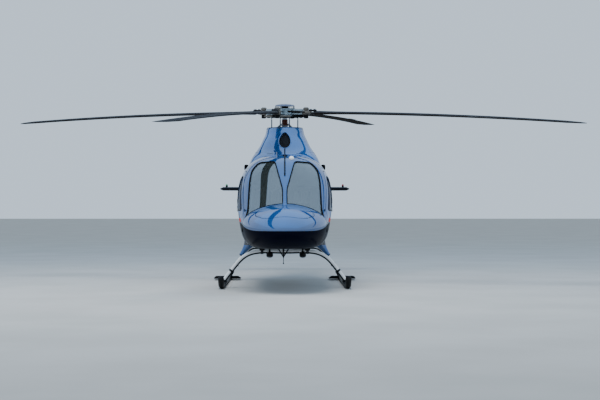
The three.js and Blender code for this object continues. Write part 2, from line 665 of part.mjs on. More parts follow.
function legFairing() {
  const centre = LEG_FAIRING.map(([x, z]) => new THREE.Vector3(x, CROSS.rear, z));
  return loft(LEG_FAIRING.map(([, , thick, wide], i) => {
    const along = centre[Math.min(i + 1, centre.length - 1)].clone().sub(centre[Math.max(i - 1, 0)]).normalize();
    const across = new THREE.Vector3(-along.z, 0, along.x);
    const sides = 16;
    return Array.from({ length: sides }, (_, k) => {
      const a = (k / sides) * 2 * Math.PI;
      return centre[i].clone().addScaledVector(across, thick * Math.cos(a))
        .add(new THREE.Vector3(0, wide * Math.sin(a), 0));
    });
  }));
}

function skidGear() {
  const { radius, rear, bendStart, bendRadius, bendAngle, tip } = SKID;
  const end = THREE.MathUtils.degToRad(bendAngle);
  const route = [new THREE.Vector3(TRACK, rear, radius)];
  const bendSteps = 6;
  for (let k = 0; k <= bendSteps; k += 1) {
    const a = (end * k) / bendSteps;
    route.push(new THREE.Vector3(TRACK, bendStart - bendRadius * Math.sin(a), radius + bendRadius * (1 - Math.cos(a))));
  }
  const last = route[route.length - 1];
  route.push(last.clone().add(new THREE.Vector3(0, -tip * Math.cos(end), tip * Math.sin(end))));
  const [x0, x1] = [TRACK - 228, TRACK + 258];
  const paw = sidePrism([[385, 88, 5], [400, 92, 5], [450, 44, 20], [850, 44, 5], [850, 26, 5], [430, 26, 20]], x0, x1)
    .intersect(planPrism([[x0, 380, 60], [x1, 380, 60], [x1, 850, 60], [x0, 850, 60]], 0, 200));
  const leg = (y, half, grow) => {
    const right = half.map(([x, z]) => [-x, y, z]).reverse();
    return tube(smooth([...right, ...half.map(([x, z]) => [x, y, z])], 36), CROSS.radius + grow, 10);
  };
  const sockets = [[CROSS.front, FRONT_TUBE], [CROSS.rear, REAR_TUBE]].map(([y, half]) => {
    const [[ax, az], [bx, bz]] = half.slice(-2);
    const top = [bx + (ax - bx) * 0.8, y, bz + (az - bz) * 0.8];
    return join([rod([bx, y, bz - 20], top, CROSS.radius + 16, 14), box(TRACK - 60, TRACK + 60, y - 70, y + 70, 20, 84)])
      .subtract(leg(y, half, GAP));
  });
  const drop = [0, 0, -tube(route, radius).boundingBox().min[2]];
  const skid = join([tube(route, radius).translate(drop), paw, ...sockets]);
  add('skid_left', skid, BLACK);
  add('skid_right', mirrored(skid), BLACK);
  const skidClear = join([tube(route, radius + GAP).translate(drop), paw,
    ...[CROSS.front, CROSS.rear].map((y) => box(TRACK - 60 - GAP, TRACK + 60 + GAP, y - 71, y + 71, 20, 84 + GAP))]);
  const saddles = (y, z) => [-1, 1].map((sign) => box(sign * 380 - 45, sign * 380 + 45, y - 50, y + 50, z - 20, z + 90));
  const crossTube = (y, half) => join([
    leg(y, half, 0).subtract(skidClear).subtract(mirrored(skidClear)),
    ...saddles(y, half[0][1]),
  ]).subtract(CLEAR);
  add('front_cross_tube', crossTube(CROSS.front, FRONT_TUBE), WHITE);
  add('rear_cross_tube', crossTube(CROSS.rear, REAR_TUBE), WHITE);
  const fairing = legFairing().subtract(CLEAR)
    .subtract(join([0, 25, 50, 75].map((down) => leg(CROSS.rear, REAR_TUBE, GAP).translate([-down * 0.7, 0, -down]))));
  add('leg_fairing_left', fairing, PAINT);
  add('leg_fairing_right', mirrored(fairing), PAINT);
}

// Inside the cabin
function seat(x, y, width, depth, back) {
  const base = box(x - width / 2, x + width / 2, y, y + depth, FLOOR_TOP + GAP, 1060);
  const squab = box(x - width / 2, x + width / 2, y - 30, y + depth, 1060, 1180);
  const backRest = sidePrism([[y + depth - 120, 1100, 30], [y + depth + 70, back, 50], [y + depth + 160, back, 40],
    [y + depth, 1080, 20]], x - width / 2, x + width / 2);
  return join([base, squab, backRest]);
}

function interior() {
  const room = hull(SKIN + GAP, NOSE_TIP, BOOM_START - SKIN);
  add('cabin_floor', room.intersect(box(-BIG, BIG, NOSE_END + 10, AFT_START - 10, FLOOR_TOP - 50, FLOOR_TOP)), GREY);
  add('crew_seat_left', seat(330, -2150, 460, 480, 1700), LEATHER);
  add('crew_seat_right', seat(-330, -2150, 460, 480, 1700), LEATHER);
  add('middle_bench', seat(0, -1200, 1160, 440, 1650), LEATHER);
  add('rear_bench', seat(0, -340, 1160, 440, 1650), LEATHER);
  const panel = sidePrism([[-2900, FLOOR_TOP + GAP, 10], [-2900, 1300, 40], [-2720, 1420, 40], [-2640, 1400, 20],
    [-2700, 1000, 40], [-2640, FLOOR_TOP + GAP, 10]], -420, 420);
  add('instrument_panel', panel.intersect(hull(SKIN + 12, NOSE_TIP, BOOM_START - SKIN)), BLACK);
}

// Small outside pieces
function fittings() {
  [[-250, 'right'], [297, 'left']].forEach(([x, side]) => {
    const lamp = turned([[0, 0], [30, 5], [50, 22], [57, 48], [54, 74], [38, 96], [32, 200], [0, 200]], 16,
      [x, -2200, 503]);
    add(`belly_lamp_${side}`, lamp.subtract(CLEAR), LAMP);
  });
  const blade = sidePrism([[-2400, 1830, 10], [-2420, 1900, 10], [-2080, 2120, 60], [-1780, 2225, 60], [-1690, 2340, 14],
    [-1590, 2348, 14], [-1480, 2180, 10]], -12, 12);
  add('upper_wire_cutter', blade.subtract(CLEAR), BLACK);
  const brace = { x: -22, y: -2500, z: 530 };
  const lower = join([
    sidePrism([[-2620, 700, 10], [-2540, 520, 12], [-2480, 520, 12], [-2440, 700, 10]], -14, 14),
    rod([0, brace.y, brace.z], [105, brace.y, 700], 11, 8),
    rod([0, brace.y, brace.z], [-105, brace.y, 700], 11, 8),
    rod([0, brace.y, brace.z], [0, brace.y, 430], 6, 8),
    turned([[0, -12], [10, -8], [12, 0], [10, 8], [0, 12]], 8, [0, brace.y, 425]),
  ]).translate([brace.x, 0, 0]);
  add('lower_wire_cutter', lower.subtract(CLEAR), BLACK);
  const scoop = join([
    sidePrism([[-775, 1985, 20], [-760, 2092, 20], [-640, 2080, 30], [-640, 2000, 30]], 634, 712),
    rod([674, -700, 2040], [704, -700, 1880], 14, 8),
  ]);
  add('scoop_left', scoop.subtract(CLEAR), PAINT);
  add('scoop_right', mirrored(scoop.subtract(CLEAR)), PAINT);
  const dome = turned([[0, -60], [45, -60], [45, 8], [36, 34], [0, 48]], 14, [113, -1880, 2152]);
  add('antenna_dome', dome.subtract(CLEAR), WHITE);
}

noseAndCabin();
aftFuselage();
upperWorks();
fins();
tailRotor();
mainRotor();
skidGear();
interior();
fittings();

export default airframe;
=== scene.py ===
"""The looks of a light single-engine helicopter on skids, in metres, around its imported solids.

The nose points along -Y, the machine's left side is +X and up is +Z. The skids stand on z = 0.
"""

import itertools
import json
import logging
import math
from dataclasses import dataclass, field
from enum import Enum
from typing import Callable, Optional, Sequence, Union

import bmesh
import bpy
import numpy as np
from mathutils import Matrix, Vector
from mathutils.geometry import delaunay_2d_cdt

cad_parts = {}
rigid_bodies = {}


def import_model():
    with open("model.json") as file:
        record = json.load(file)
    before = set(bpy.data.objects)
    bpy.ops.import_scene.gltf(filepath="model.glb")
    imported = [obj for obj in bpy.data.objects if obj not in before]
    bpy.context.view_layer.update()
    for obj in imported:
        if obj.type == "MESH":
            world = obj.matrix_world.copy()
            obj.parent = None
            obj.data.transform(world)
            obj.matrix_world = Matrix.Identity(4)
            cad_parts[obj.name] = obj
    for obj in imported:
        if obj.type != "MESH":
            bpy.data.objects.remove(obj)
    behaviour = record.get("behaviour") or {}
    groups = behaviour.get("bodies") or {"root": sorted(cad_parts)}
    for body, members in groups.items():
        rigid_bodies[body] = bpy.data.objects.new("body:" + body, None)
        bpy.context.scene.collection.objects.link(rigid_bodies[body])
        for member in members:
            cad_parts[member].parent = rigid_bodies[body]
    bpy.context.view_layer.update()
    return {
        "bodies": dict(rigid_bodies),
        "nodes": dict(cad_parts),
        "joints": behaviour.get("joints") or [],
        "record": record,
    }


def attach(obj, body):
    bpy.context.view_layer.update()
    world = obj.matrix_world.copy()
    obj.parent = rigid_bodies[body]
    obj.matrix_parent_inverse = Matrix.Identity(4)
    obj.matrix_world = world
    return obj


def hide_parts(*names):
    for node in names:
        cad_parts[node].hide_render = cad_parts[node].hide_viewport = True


LOG = logging.getLogger("helicopter")
Array = np.ndarray
Number = Union[float, "Value"]
Colour = Union[Sequence[float], "Value"]
# The directions of an outline's y and z
SIDE_PLANE = ((0, 1, 0), (0, 0, 1))
# How far a pane's or a panel's edge stays off its neighbour
HAIR = 0.0005


class Side(Enum):
    """The two sides of the machine, as the sign of x."""

    LEFT = 1.0
    RIGHT = -1.0

    @property
    def word(self) -> str:
        """The side's name in lower case, as the nodes' names end."""
        return self.name.lower()


class Value:
    """A shader socket that can be used in Python expressions."""

    def __init__(self, nodes: "Nodes", socket: bpy.types.NodeSocket) -> None:
        """Wraps a socket.

        Args:
            nodes: the tree's node maker.
            socket: an output socket that gives a number.
        """
        self.nodes = nodes
        self.socket = socket

    def _math(self, operation: str, first: Number, second: Number = 0.0) -> "Value":
        """One Math node.

        Args:
            operation: the node's operation.
            first: its first value.
            second: its second value.

        Returns:
            The node's result.
        """
        return self.nodes.make("ShaderNodeMath", {"operation": operation}, {0: first, 1: second})

    def __add__(self, other: Number) -> "Value":
        """The sum."""
        return self._math("ADD", self, other)

    __radd__ = __add__

    def __sub__(self, other: Number) -> "Value":
        """The difference."""
        return self._math("SUBTRACT", self, other)

    def __rsub__(self, other: Number) -> "Value":
        """The difference from a number."""
        return self._math("SUBTRACT", other, self)

    def __mul__(self, other: Number) -> "Value":
        """The product."""
        return self._math("MULTIPLY", self, other)

    __rmul__ = __mul__

    def __gt__(self, other: Number) -> "Value":
        """1 where this is more than the other, else 0."""
        return self._math("GREATER_THAN", self, other)

    def __lt__(self, other: Number) -> "Value":
        """1 where this is less than the other, else 0."""
        return self._math("LESS_THAN", self, other)

    def __abs__(self) -> "Value":
        """The size without its sign."""
        return self._math("ABSOLUTE", self)

    def step(self, low: float, high: float) -> "Value":
        """A smooth rise from 0 at low to 1 at high, or a fall where low is above high.

        Args:
            low: the value that gives 0.
            high: the value that gives 1.

        Returns:
            A value from 0 to 1.
        """
        settings = {"interpolation_type": "SMOOTHSTEP", "clamp": True}
        if low < high:
            ends = {"Value": self, "From Min": low, "From Max": high}
            return self.nodes.make("ShaderNodeMapRange", settings, ends)
        ends = {"Value": self, "From Min": high, "From Max": low, "To Min": 1.0, "To Max": 0.0}
        return self.nodes.make("ShaderNodeMapRange", settings, ends)


class Nodes:
    """Makes the nodes of one material."""

    def __init__(self, name: str) -> None:
        """Starts a material.

        Args:
            name: the material's name.
        """
        self.material = bpy.data.materials.new(name)
        self.material.use_nodes = True
        self.tree = self.material.node_tree
        self.tree.nodes.clear()
        coordinates = self.tree.nodes.new("ShaderNodeTexCoord")
        self.object = coordinates.outputs["Object"]
        parts = self.tree.nodes.new("ShaderNodeSeparateXYZ")
        self.tree.links.new(self.object, parts.inputs[0])
        self.x, self.y, self.z = (Value(self, parts.outputs[k]) for k in range(3))

    def make(self, kind: str, settings: Optional[dict] = None, sockets: Optional[dict] = None,
             output: Union[int, str] = 0) -> Optional[Value]:
        """One node of any type.

        Args:
            kind: the node's type.
            settings: attributes that are set first.
            sockets: values or links of its input sockets, by name or number.
            output: the output that is returned.

        Returns:
            The chosen output, or None for a node that has none.
        """
        node = self.tree.nodes.new(kind)
        for name, value in (settings or {}).items():
            setattr(node, name, value)
        for name, value in (sockets or {}).items():
            if isinstance(value, Value):
                self.tree.links.new(value.socket, node.inputs[name])
            elif isinstance(value, bpy.types.NodeSocket):
                self.tree.links.new(value, node.inputs[name])
            else:
                node.inputs[name].default_value = value
        return Value(self, node.outputs[output]) if len(node.outputs) else None

    def noise(self, scale: float, detail: float = 3.0) -> Value:
        """Soft noise from 0 to 1 on object coordinates.

        Args:
            scale: cells per metre.
            detail: octaves.

        Returns:
            The noise.
        """
        sockets = {"Vector": self.object, "Scale": scale, "Detail": detail}
        return self.make("ShaderNodeTexNoise", {}, sockets, "Fac")

    def mix(self, mask: Number, first: Colour, second: Colour) -> Value:
        """A colour between two.

        Args:
            mask: 0 gives the first, 1 the second.
            first: a colour.
            second: a colour.

        Returns:
            The mixed colour.
        """
        ends = [c if isinstance(c, Value) else (*c, 1.0) for c in (first, second)]
        return self.make("ShaderNodeMix", {"data_type": "RGBA"}, {0: mask, 6: ends[0], 7: ends[1]}, 2)

    def bump(self, height: Value, strength: float, distance: float = 0.001) -> Value:
        """A bump from a height.

        Args:
            height: the height, about 0 to 1.
            strength: how strong it is.
            distance: the height of 1, in metres.

        Returns:
            The normal.
        """
        return self.make("ShaderNodeBump", {}, {"Height": height, "Strength": strength, "Distance": distance})

    def surface(self, **sockets: object) -> bpy.types.Material:
        """Ends the material in a Principled shader.

        Args:
            sockets: its inputs, with _ for a space in a name.

        Returns:
            The material.
        """
        inputs = {}
        for name, value in sockets.items():
            if isinstance(value, tuple) and len(value) == 3:
                value = (*value, 1.0)
            inputs[name.replace("_", " ")] = value
        shader = self.make("ShaderNodeBsdfPrincipled", {}, inputs)
        self.make("ShaderNodeOutputMaterial", {}, {"Surface": shader})
        return self.material


@dataclass(frozen=True)
class Paint:
    """Deep glossy paint with fine flakes and a hard clear coat. Below a line that rises aft it is painted
    near black, as a painted reflection of the dark ground and painted shade from under the machine.

    A red band runs along the doors, just above that line. Places are in metres from the origin.
    """

    name: str = "blue paint"
    colour: tuple = (0.006, 0.086, 0.285)
    dark: tuple = (0.004, 0.066, 0.225)
    # Near black: painted reflection of the dark ground and painted shade, used below the rising line
    below: tuple = (0.0012, 0.0020, 0.009)
    line: tuple = (0.75, 0.030, 0.010)
    metallic: float = 0.55
    roughness: float = 0.30
    # The painted near-black reflection and shade: its edge at the nose, its rise, the rise's first y and its
    # length, its last y and lowest z
    edge: float = 0.975
    rise: float = 0.125
    rise_start: float = -4.9
    rise_length: float = 1.2
    black_end: float = -0.4
    black_low: float = 0.645
    # The red band: its middle z, half its width, and its first and last y
    band_z: float = 1.135
    band_half: float = 0.030
    band_front: float = -3.95
    band_rear: float = -0.2
    band_inner: float = 0.3
    # Where the coat turns glossy again behind the nose, and where the flanks start
    nose_end: float = -3.6
    flank: float = 0.70
    flank_end: float = -0.9
    tint: tuple = (0.30, 0.50, 0.85)

    def build(self) -> bpy.types.Material:
        """Makes the material.

        Returns:
            The material.
        """
        n = Nodes(self.name)
        colour = n.mix(n.noise(1.4, 2.0).step(0.35, 0.65), self.dark, self.colour)
        # Below the rising line the colour is painted near black, a painted reflection of the dark ground and
        # painted shade; on the nose the coat is taken off there
        edge = (n.y - self.rise_start).step(0.0, self.rise_length) * self.rise + self.edge
        below = (n.z - edge).step(0.003, -0.003)
        before = (n.y - self.black_end).step(0.3, -0.3)
        low = below * before * (n.z > self.black_low)
        band = (abs(n.z - self.band_z) < self.band_half) * (n.y > self.band_front)
        band = band * (abs(n.x) > self.band_inner) * (n.y < self.band_rear)
        colour = n.mix(band, n.mix(low, colour, self.below), self.line)
        flakes = n.noise(900.0, 0.0)
        grime = n.noise(3.0, 4.0)
        peel = n.bump(n.noise(70.0, 1.0), 0.02)
        flank = (abs(n.x) - self.flank).step(0.0, 0.05) * (n.y - self.flank_end).step(0.6, 0.0)
        satin = 1.0 - low * (n.y - self.nose_end).step(0.4, -0.4) * 0.98
        return n.surface(Base_Color=colour, Metallic=self.metallic * (1.0 - low) * (1.0 - band), IOR=1.04,
                         Coat_Weight=satin * (1.0 - band * 0.9) * (1.0 - flank * 0.65), Coat_IOR=2.1,
                         Roughness=flakes * 0.1 + grime * 0.08 + self.roughness - 0.09,
                         Coat_Roughness=0.025, Specular_Tint=self.tint, Normal=peel)


@dataclass(frozen=True)
class Satin:
    """A satin or matt paint or plastic with a little wear and dust."""

    name: str
    colour: tuple
    roughness: float = 0.5
    metallic: float = 0.0
    dust: float = 0.12
    grain: float = 260.0
    bump: float = 0.12
    coat: float = 0.0
    ior: float = 1.45

    def build(self) -> bpy.types.Material:
        """Makes the material.

        Returns:
            The material.
        """
        n = Nodes(self.name)
        cloud = n.noise(5.0, 4.0)
        paler = tuple(min(1.0, c * 1.25 + 0.03) for c in self.colour)
        colour = n.mix(cloud.step(0.45, 0.8) * (self.dust * 4.0), self.colour, paler)
        grain = n.noise(self.grain, 2.0)
        return n.surface(Base_Color=colour, Metallic=self.metallic, IOR=self.ior, Coat_Weight=self.coat,
                         Roughness=cloud * 0.2 + self.roughness - 0.1,
                         Normal=n.bump(grain, self.bump, 0.0006))


@dataclass(frozen=True)
class Glazing:
    """Clear acrylic with a pale film that holds the light, so that it is see-through but bright."""

    name: str = "glazing"
    tint: tuple = (0.030, 0.040, 0.040)
    alpha: float = 0.55
    coat: float = 1.0
    ior: float = 1.5

    def build(self) -> bpy.types.Material:
        """Makes the material.

        Returns:
            The material.
        """
        n = Nodes(self.name)
        smear = n.noise(2.2, 3.0)
        haze = smear.step(0.3, 0.75) * 0.08 + (self.alpha - 0.04)
        return n.surface(Base_Color=self.tint, Roughness=0.04, IOR=self.ior, Alpha=haze,
                         Coat_Weight=self.coat, Coat_IOR=3.0, Coat_Roughness=0.02)


def spline(places: Array, values: Array) -> Callable[[Array], Array]:
    """A natural cubic through rows: each stretch is a cubic, with value, slope and curve joined.

    Args:
        places: where the rows are, rising.
        values: one row of values for each place.

    Returns:
        A function from places to rows of values.
    """
    gaps = np.diff(places)
    count = len(places)
    matrix = np.eye(count)
    right = np.zeros_like(values)
    for i in range(1, count - 1):
        matrix[i, i - 1:i + 2] = (gaps[i - 1], 2.0 * (gaps[i - 1] + gaps[i]), gaps[i])
        right[i] = 6.0 * ((values[i + 1] - values[i]) / gaps[i] - (values[i] - values[i - 1]) / gaps[i - 1])
    curve = np.linalg.solve(matrix, right)

    def at(where: Array) -> Array:
        """The rows of values at places.

        Args:
            where: places on the axis.

        Returns:
            One row for each place.
        """
        where = np.asarray(where, float)
        i = np.clip(np.searchsorted(places, where) - 1, 0, count - 2)
        h = gaps[i][..., None]
        a = ((places[i + 1] - where) / gaps[i])[..., None]
        b = 1.0 - a
        bend = (a ** 3 - a) * curve[i] + (b ** 3 - b) * curve[i + 1]
        return a * values[i] + b * values[i + 1] + bend * h ** 2 / 6.0

    return at


class Surface:
    """A smooth skin that is a function of two parameters. The scale makes them lengths in metres."""

    scale: tuple = (1.0, 0.8)

    def point(self, u: Array, v: Array) -> Array:
        """Points on the skin, one row of x, y, z each."""
        raise NotImplementedError

    def centre(self, u: Array, v: Array) -> Array:
        """Points inside the skin, which tell its outer side."""
        raise NotImplementedError

    def clamp(self, u: Array, v: Array) -> tuple:
        """The parameters kept off the skin's poles."""
        return u, v

    def normal(self, u: Array, v: Array) -> Array:
        """The skin's outward directions, from the cross product of its two slopes.

        Args:
            u: the first parameter.
            v: the second parameter.

        Returns:
            Unit rows.
        """
        step = 1e-4
        u, v = self.clamp(np.asarray(u, float), np.asarray(v, float))
        along = self.point(u + step, v) - self.point(u - step, v)
        around = self.point(u, v + step) - self.point(u, v - step)
        normal = np.cross(along, around)
        normal /= np.maximum(np.linalg.norm(normal, axis=-1, keepdims=True), 1e-12)
        outward = self.point(u, v) - self.centre(u, v)
        return np.where(np.sum(normal * outward, -1, keepdims=True) < 0, -normal, normal)

    def line(self, outline: Array) -> tuple:
        """The points and directions of an outline on the skin."""
        return self.point(*outline.T), self.normal(*outline.T)

    def evenly(self, outline: Array, spacing: float) -> tuple:
        """Evenly spaced points of a closed outline on the skin, and the skin's directions there."""
        rows = resample(np.concatenate(self.line(outline), 1), spacing, True)
        return rows[:, :3], rows[:, 3:]


@dataclass
class Hull(Surface):
    """The body's skin by station and by the angle round the section, from -90 deg at the keel to 90 on top.

    A section is a superellipse, |x / w| ^ n + |z / h| ^ n = 1, met by a ray at the angle. Its lower half
    narrows.
    The station is y from the mast, and in the nose y = end - depth * sin((end - station) / depth).
    """

    # Columns: y from the mast, half width, top z, breadth z, bottom z, power of the upper and lower curve
    nose: tuple = (
        (-3.950, 0.600, 1.225, 0.985, 0.735, 1.9, 2.6), (-3.600, 0.618, 1.290, 1.010, 0.712, 1.85, 2.8),
        (-3.300, 0.640, 1.340, 1.040, 0.690, 1.8, 3.0), (-3.000, 0.672, 1.390, 1.085, 0.672, 1.85, 3.5),
    )
    cabin: tuple = (
        (-3.000, 0.672, 1.390, 1.085, 0.672, 1.85, 3.5), (-2.700, 0.722, 1.640, 1.160, 0.662, 2.1, 4.2),
        (-2.400, 0.762, 1.870, 1.250, 0.657, 2.35, 4.8), (-2.100, 0.784, 2.065, 1.330, 0.655, 2.55, 5.0),
        (-1.800, 0.796, 2.180, 1.380, 0.655, 2.65, 5.0), (-1.400, 0.802, 2.245, 1.400, 0.655, 2.7, 5.0),
        (-0.900, 0.802, 2.265, 1.400, 0.655, 2.7, 5.0), (0.000, 0.792, 2.262, 1.400, 0.655, 2.7, 5.0),
        (0.600, 0.748, 2.245, 1.450, 0.668, 2.6, 4.5), (1.200, 0.640, 2.215, 1.550, 0.800, 2.5, 3.6),
        (1.800, 0.470, 2.175, 1.690, 1.130, 2.3, 2.8), (2.400, 0.300, 2.140, 1.800, 1.450, 2.2, 2.3),
    )
    tip: float = -3.950
    nose_end: float = -3.000
    aft_start: float = 0.450
    aft_end: float = 2.400
    taper: float = 0.17

    def __post_init__(self) -> None:
        """Fits the curves through both tables."""
        self._nose = spline(np.array(self.nose)[:, 0], np.array(self.nose)[:, 1:])
        self._cabin = spline(np.array(self.cabin)[:, 0], np.array(self.cabin)[:, 1:])
        self.depth = self.nose_end - self.tip
        self.first = self.nose_end - self.depth * math.pi / 2.0

    def y_at(self, station: Array) -> Array:
        """The y of stations."""
        turn = np.clip((self.nose_end - np.asarray(station, float)) / self.depth, 0.0, math.pi / 2.0)
        return np.where(turn > 0.0, self.nose_end - self.depth * np.sin(turn), station)

    def station_at(self, y: Array) -> Array:
        """The station of places y."""
        reach = np.clip((self.nose_end - np.asarray(y, float)) / self.depth, 0.0, 1.0)
        return np.where(reach > 0.0, self.nose_end - self.depth * np.arcsin(reach), y)

    def section(self, station: Array) -> tuple:
        """The section's values at stations.

        Args:
            station: places along the hull.

        Returns:
            Half width, top, breadth and bottom z, both powers, and the share that is left as the nose closes.
        """
        station = np.asarray(station, float)
        y = self.y_at(station)
        rows = np.where((y < self.nose_end)[..., None], self._nose(y), self._cabin(y))
        turn = np.clip((self.nose_end - station) / self.depth, 0.0, math.pi / 2.0)
        return (*np.moveaxis(rows, -1, 0), np.cos(turn))

    def point(self, u: Array, v: Array) -> Array:
        """Points on the skin at stations u and angles v, beyond 90 degrees on the right side.

        Args:
            u: stations.
            v: angles in radians.

        Returns:
            Points.
        """
        u, v = np.broadcast_arrays(np.asarray(u, float), np.asarray(v, float))
        half, top, middle, bottom, upper, lower, close = self.section(u)
        cosine, sine = np.cos(v), np.sin(v)
        power = np.where(sine > 0, upper, lower)
        ray = (np.abs(cosine) ** power + np.abs(sine) ** power) ** (1.0 / power)
        z = np.where(sine > 0, top - middle, middle - bottom) * sine / ray
        narrow = 1.0 + np.minimum(z, 0.0) * self.taper
        return np.stack([half * narrow * cosine / ray * close, self.y_at(u), middle + z * close], -1)

    def centre(self, u: Array, v: Array) -> Array:
        """Points on the section's middle."""
        middle = self.section(u)[2]
        return np.stack([np.zeros_like(middle), self.y_at(u), middle], -1)

    def clamp(self, u: Array, v: Array) -> tuple:
        """Keeps off the tip."""
        return np.maximum(u, self.first + 2e-3), v

    def side(self, outline: Array) -> Array:
        """An outline of y and z on the left flank, as stations and angles.

        Args:
            outline: rows of y and z.

        Returns:
            Rows of station and angle.
        """
        station = self.station_at(outline[:, 0])
        z = outline[:, 1]
        _, top, middle, bottom, upper, lower, close = self.section(station)
        above = z > middle
        power = np.where(above, upper, lower)
        reach = np.where(above, top - middle, middle - bottom) * close
        share = np.clip(np.abs(z - middle) / reach, 0.0, 1.0)
        across = np.maximum(1.0 - share ** power, 0.0) ** (1.0 / power)
        return np.stack([station, np.where(above, 1.0, -1.0) * np.arctan2(share, across)], 1)

    def upper(self, station: Array, x: Array) -> Array:
        """The angle where the upper skin has width x, on either side.

        Args:
            station: stations.
            x: widths.

        Returns:
            Angles in radians.
        """
        half, _, _, _, power, _, close = self.section(station)
        share = np.clip(np.abs(x) / (half * close), 0.0, 1.0)
        angle = np.arctan2(np.maximum(1.0 - share ** power, 0.0) ** (1.0 / power), share)
        return np.where(np.asarray(x) < 0.0, math.pi - angle, angle)

    def meet(self, x: Array, start: Array, way: Sequence[float], reach: float) -> Array:
        """Where straight lines from outside meet the upper skin, by halving.

        Args:
            x: the lines' x.
            start: their first points' y and z, one row each.
            way: their direction in y and z.
            reach: their length.

        Returns:
            Stations and angles.
        """
        low, high = np.zeros(len(x)), np.full(len(x), reach)
        for _ in range(36):
            middle = (low + high) / 2.0
            y, z = start[:, 0] + way[0] * middle, start[:, 1] + way[1] * middle
            station = self.station_at(y)
            within = self.point(station, self.upper(station, x))[:, 2] > z
            high = np.where(within, middle, high)
            low = np.where(within, low, middle)
        station = self.station_at(start[:, 0] + way[0] * high)
        return np.stack([station, self.upper(station, x)], 1)


def rounded(corners: Sequence[Sequence[float]], grow: float = 0.0, steps: int = 8,
            spacing: float = 0.03) -> Array:
    """A closed outline with its corners rounded by parabolas, and its sides cut in short steps.

    Args:
        corners: rows of u, v and radius.
        grow: how far the outline is moved outwards.
        steps: steps in each corner.
        spacing: the longest step on a side.

    Returns:
        Points, one row of u and v each.
    """
    table = np.array(corners, float)
    points, radii = table[:, :2], table[:, 2]
    following = np.roll(points, -1, 0)
    area = np.sum(points[:, 0] * following[:, 1] - following[:, 0] * points[:, 1])
    along = following - points
    along /= np.linalg.norm(along, axis=1, keepdims=True)
    out = np.stack([along[:, 1], -along[:, 0]], 1) * np.sign(area) * grow
    start = points + out
    moved = []
    for i in range(len(points)):
        cross = along[i - 1][0] * along[i][1] - along[i - 1][1] * along[i][0]
        gap = start[i] - start[i - 1]
        share = (gap[0] * along[i][1] - gap[1] * along[i][0]) / cross
        moved.append(start[i - 1] + along[i - 1] * share)
    moved = np.array(moved)
    pieces = []
    ends = []
    for i, corner in enumerate(moved):
        back, ahead = moved[i - 1] - corner, moved[(i + 1) % len(moved)] - corner
        room = 0.45 * min(np.linalg.norm(back), np.linalg.norm(ahead))
        reach = max(min(radii[i] + grow, room), 1e-4)
        first = corner + back * reach / np.linalg.norm(back)
        last = corner + ahead * reach / np.linalg.norm(ahead)
        t = np.linspace(0.0, 1.0, steps + 1)[:, None]
        pieces.append((1 - t) ** 2 * first + 2 * t * (1 - t) * corner + t ** 2 * last)
        ends.append((first, last))
    outline = []
    for i, piece in enumerate(pieces):
        outline.append(piece)
        target = ends[(i + 1) % len(ends)][0]
        count = int(np.linalg.norm(target - piece[-1]) / spacing)
        if count > 0:
            t = np.linspace(0.0, 1.0, count + 2)[1:-1, None]
            outline.append(piece[-1] + (target - piece[-1]) * t)
    return np.concatenate(outline)


def whole(corners: Sequence[Sequence[float]], steps: int = 5) -> Array:
    """A rounded outline whose straight sides aren't cut."""
    return rounded(corners, 0.0, steps, 9.0)


def oblong(half: float, tall: float, radius: float, steps: int = 8, spacing: float = 0.03) -> Array:
    """A rectangle with rounded corners, from half its width and half its height."""
    corners = [(-half, -tall, radius), (half, -tall, radius), (half, tall, radius), (-half, tall, radius)]
    return rounded(corners, 0.0, steps, spacing)


def rectangle(u0: float, v0: float, u1: float, v1: float) -> Array:
    """A rectangle with sharp corners, its sides cut in short steps."""
    return rounded([(u0, v0, 0.0), (u1, v0, 0.0), (u1, v1, 0.0), (u0, v1, 0.0)], 0.0, 1)


def both(corners: Sequence[Sequence[float]]) -> list:
    """Corners given for v below 0, followed by their images above it, so that the outline closes."""
    return [*corners, *[(u, -v, radius) for u, v, radius in reversed(corners) if v]]


def circle(count: int) -> Array:
    """Evenly spaced angles once round."""
    return np.linspace(0.0, 2 * math.pi, count, endpoint=False)


def squared(angle: Array, power: float) -> tuple:
    """A superellipse's cosine and sine: both raised to a power below 1, with their signs kept."""
    return tuple(np.sign(f(angle)) * np.abs(f(angle)) ** power for f in (np.cos, np.sin))


def inside(points: Array, outline: Array) -> Array:
    """Which points lie in an outline, by counting the sides that a level ray crosses.

    Args:
        points: rows of u and v.
        outline: the closed outline.

    Returns:
        True for each point inside.
    """
    u, v = points[:, 0][:, None], points[:, 1][:, None]
    a, b = outline, np.roll(outline, -1, 0)
    spans = (a[:, 1] > v) != (b[:, 1] > v)
    rise = np.where(b[:, 1] == a[:, 1], 1e-12, b[:, 1] - a[:, 1])
    meets = a[:, 0] + (v - a[:, 1]) * (b[:, 0] - a[:, 0]) / rise
    return (np.sum(spans & (u < meets), 1) % 2).astype(bool)


def distance_to(points: Array, outline: Array) -> Array:
    """The distance from points to an outline's nearest side.

    Args:
        points: rows of u and v.
        outline: the closed outline.

    Returns:
        Distances.
    """
    a, b = outline, np.roll(outline, -1, 0)
    along = b - a
    length = np.maximum(np.sum(along ** 2, 1), 1e-12)
    best = np.full(len(points), 1e9)
    for start, way, size in zip(a, along, length):
        share = np.clip((points - start) @ way / size, 0.0, 1.0)
        best = np.minimum(best, np.linalg.norm(points - start - share[:, None] * way, axis=1))
    return best


def unit(vectors: Array) -> Array:
    """Rows scaled to length 1."""
    return vectors / np.maximum(np.linalg.norm(vectors, axis=-1, keepdims=True), 1e-12)


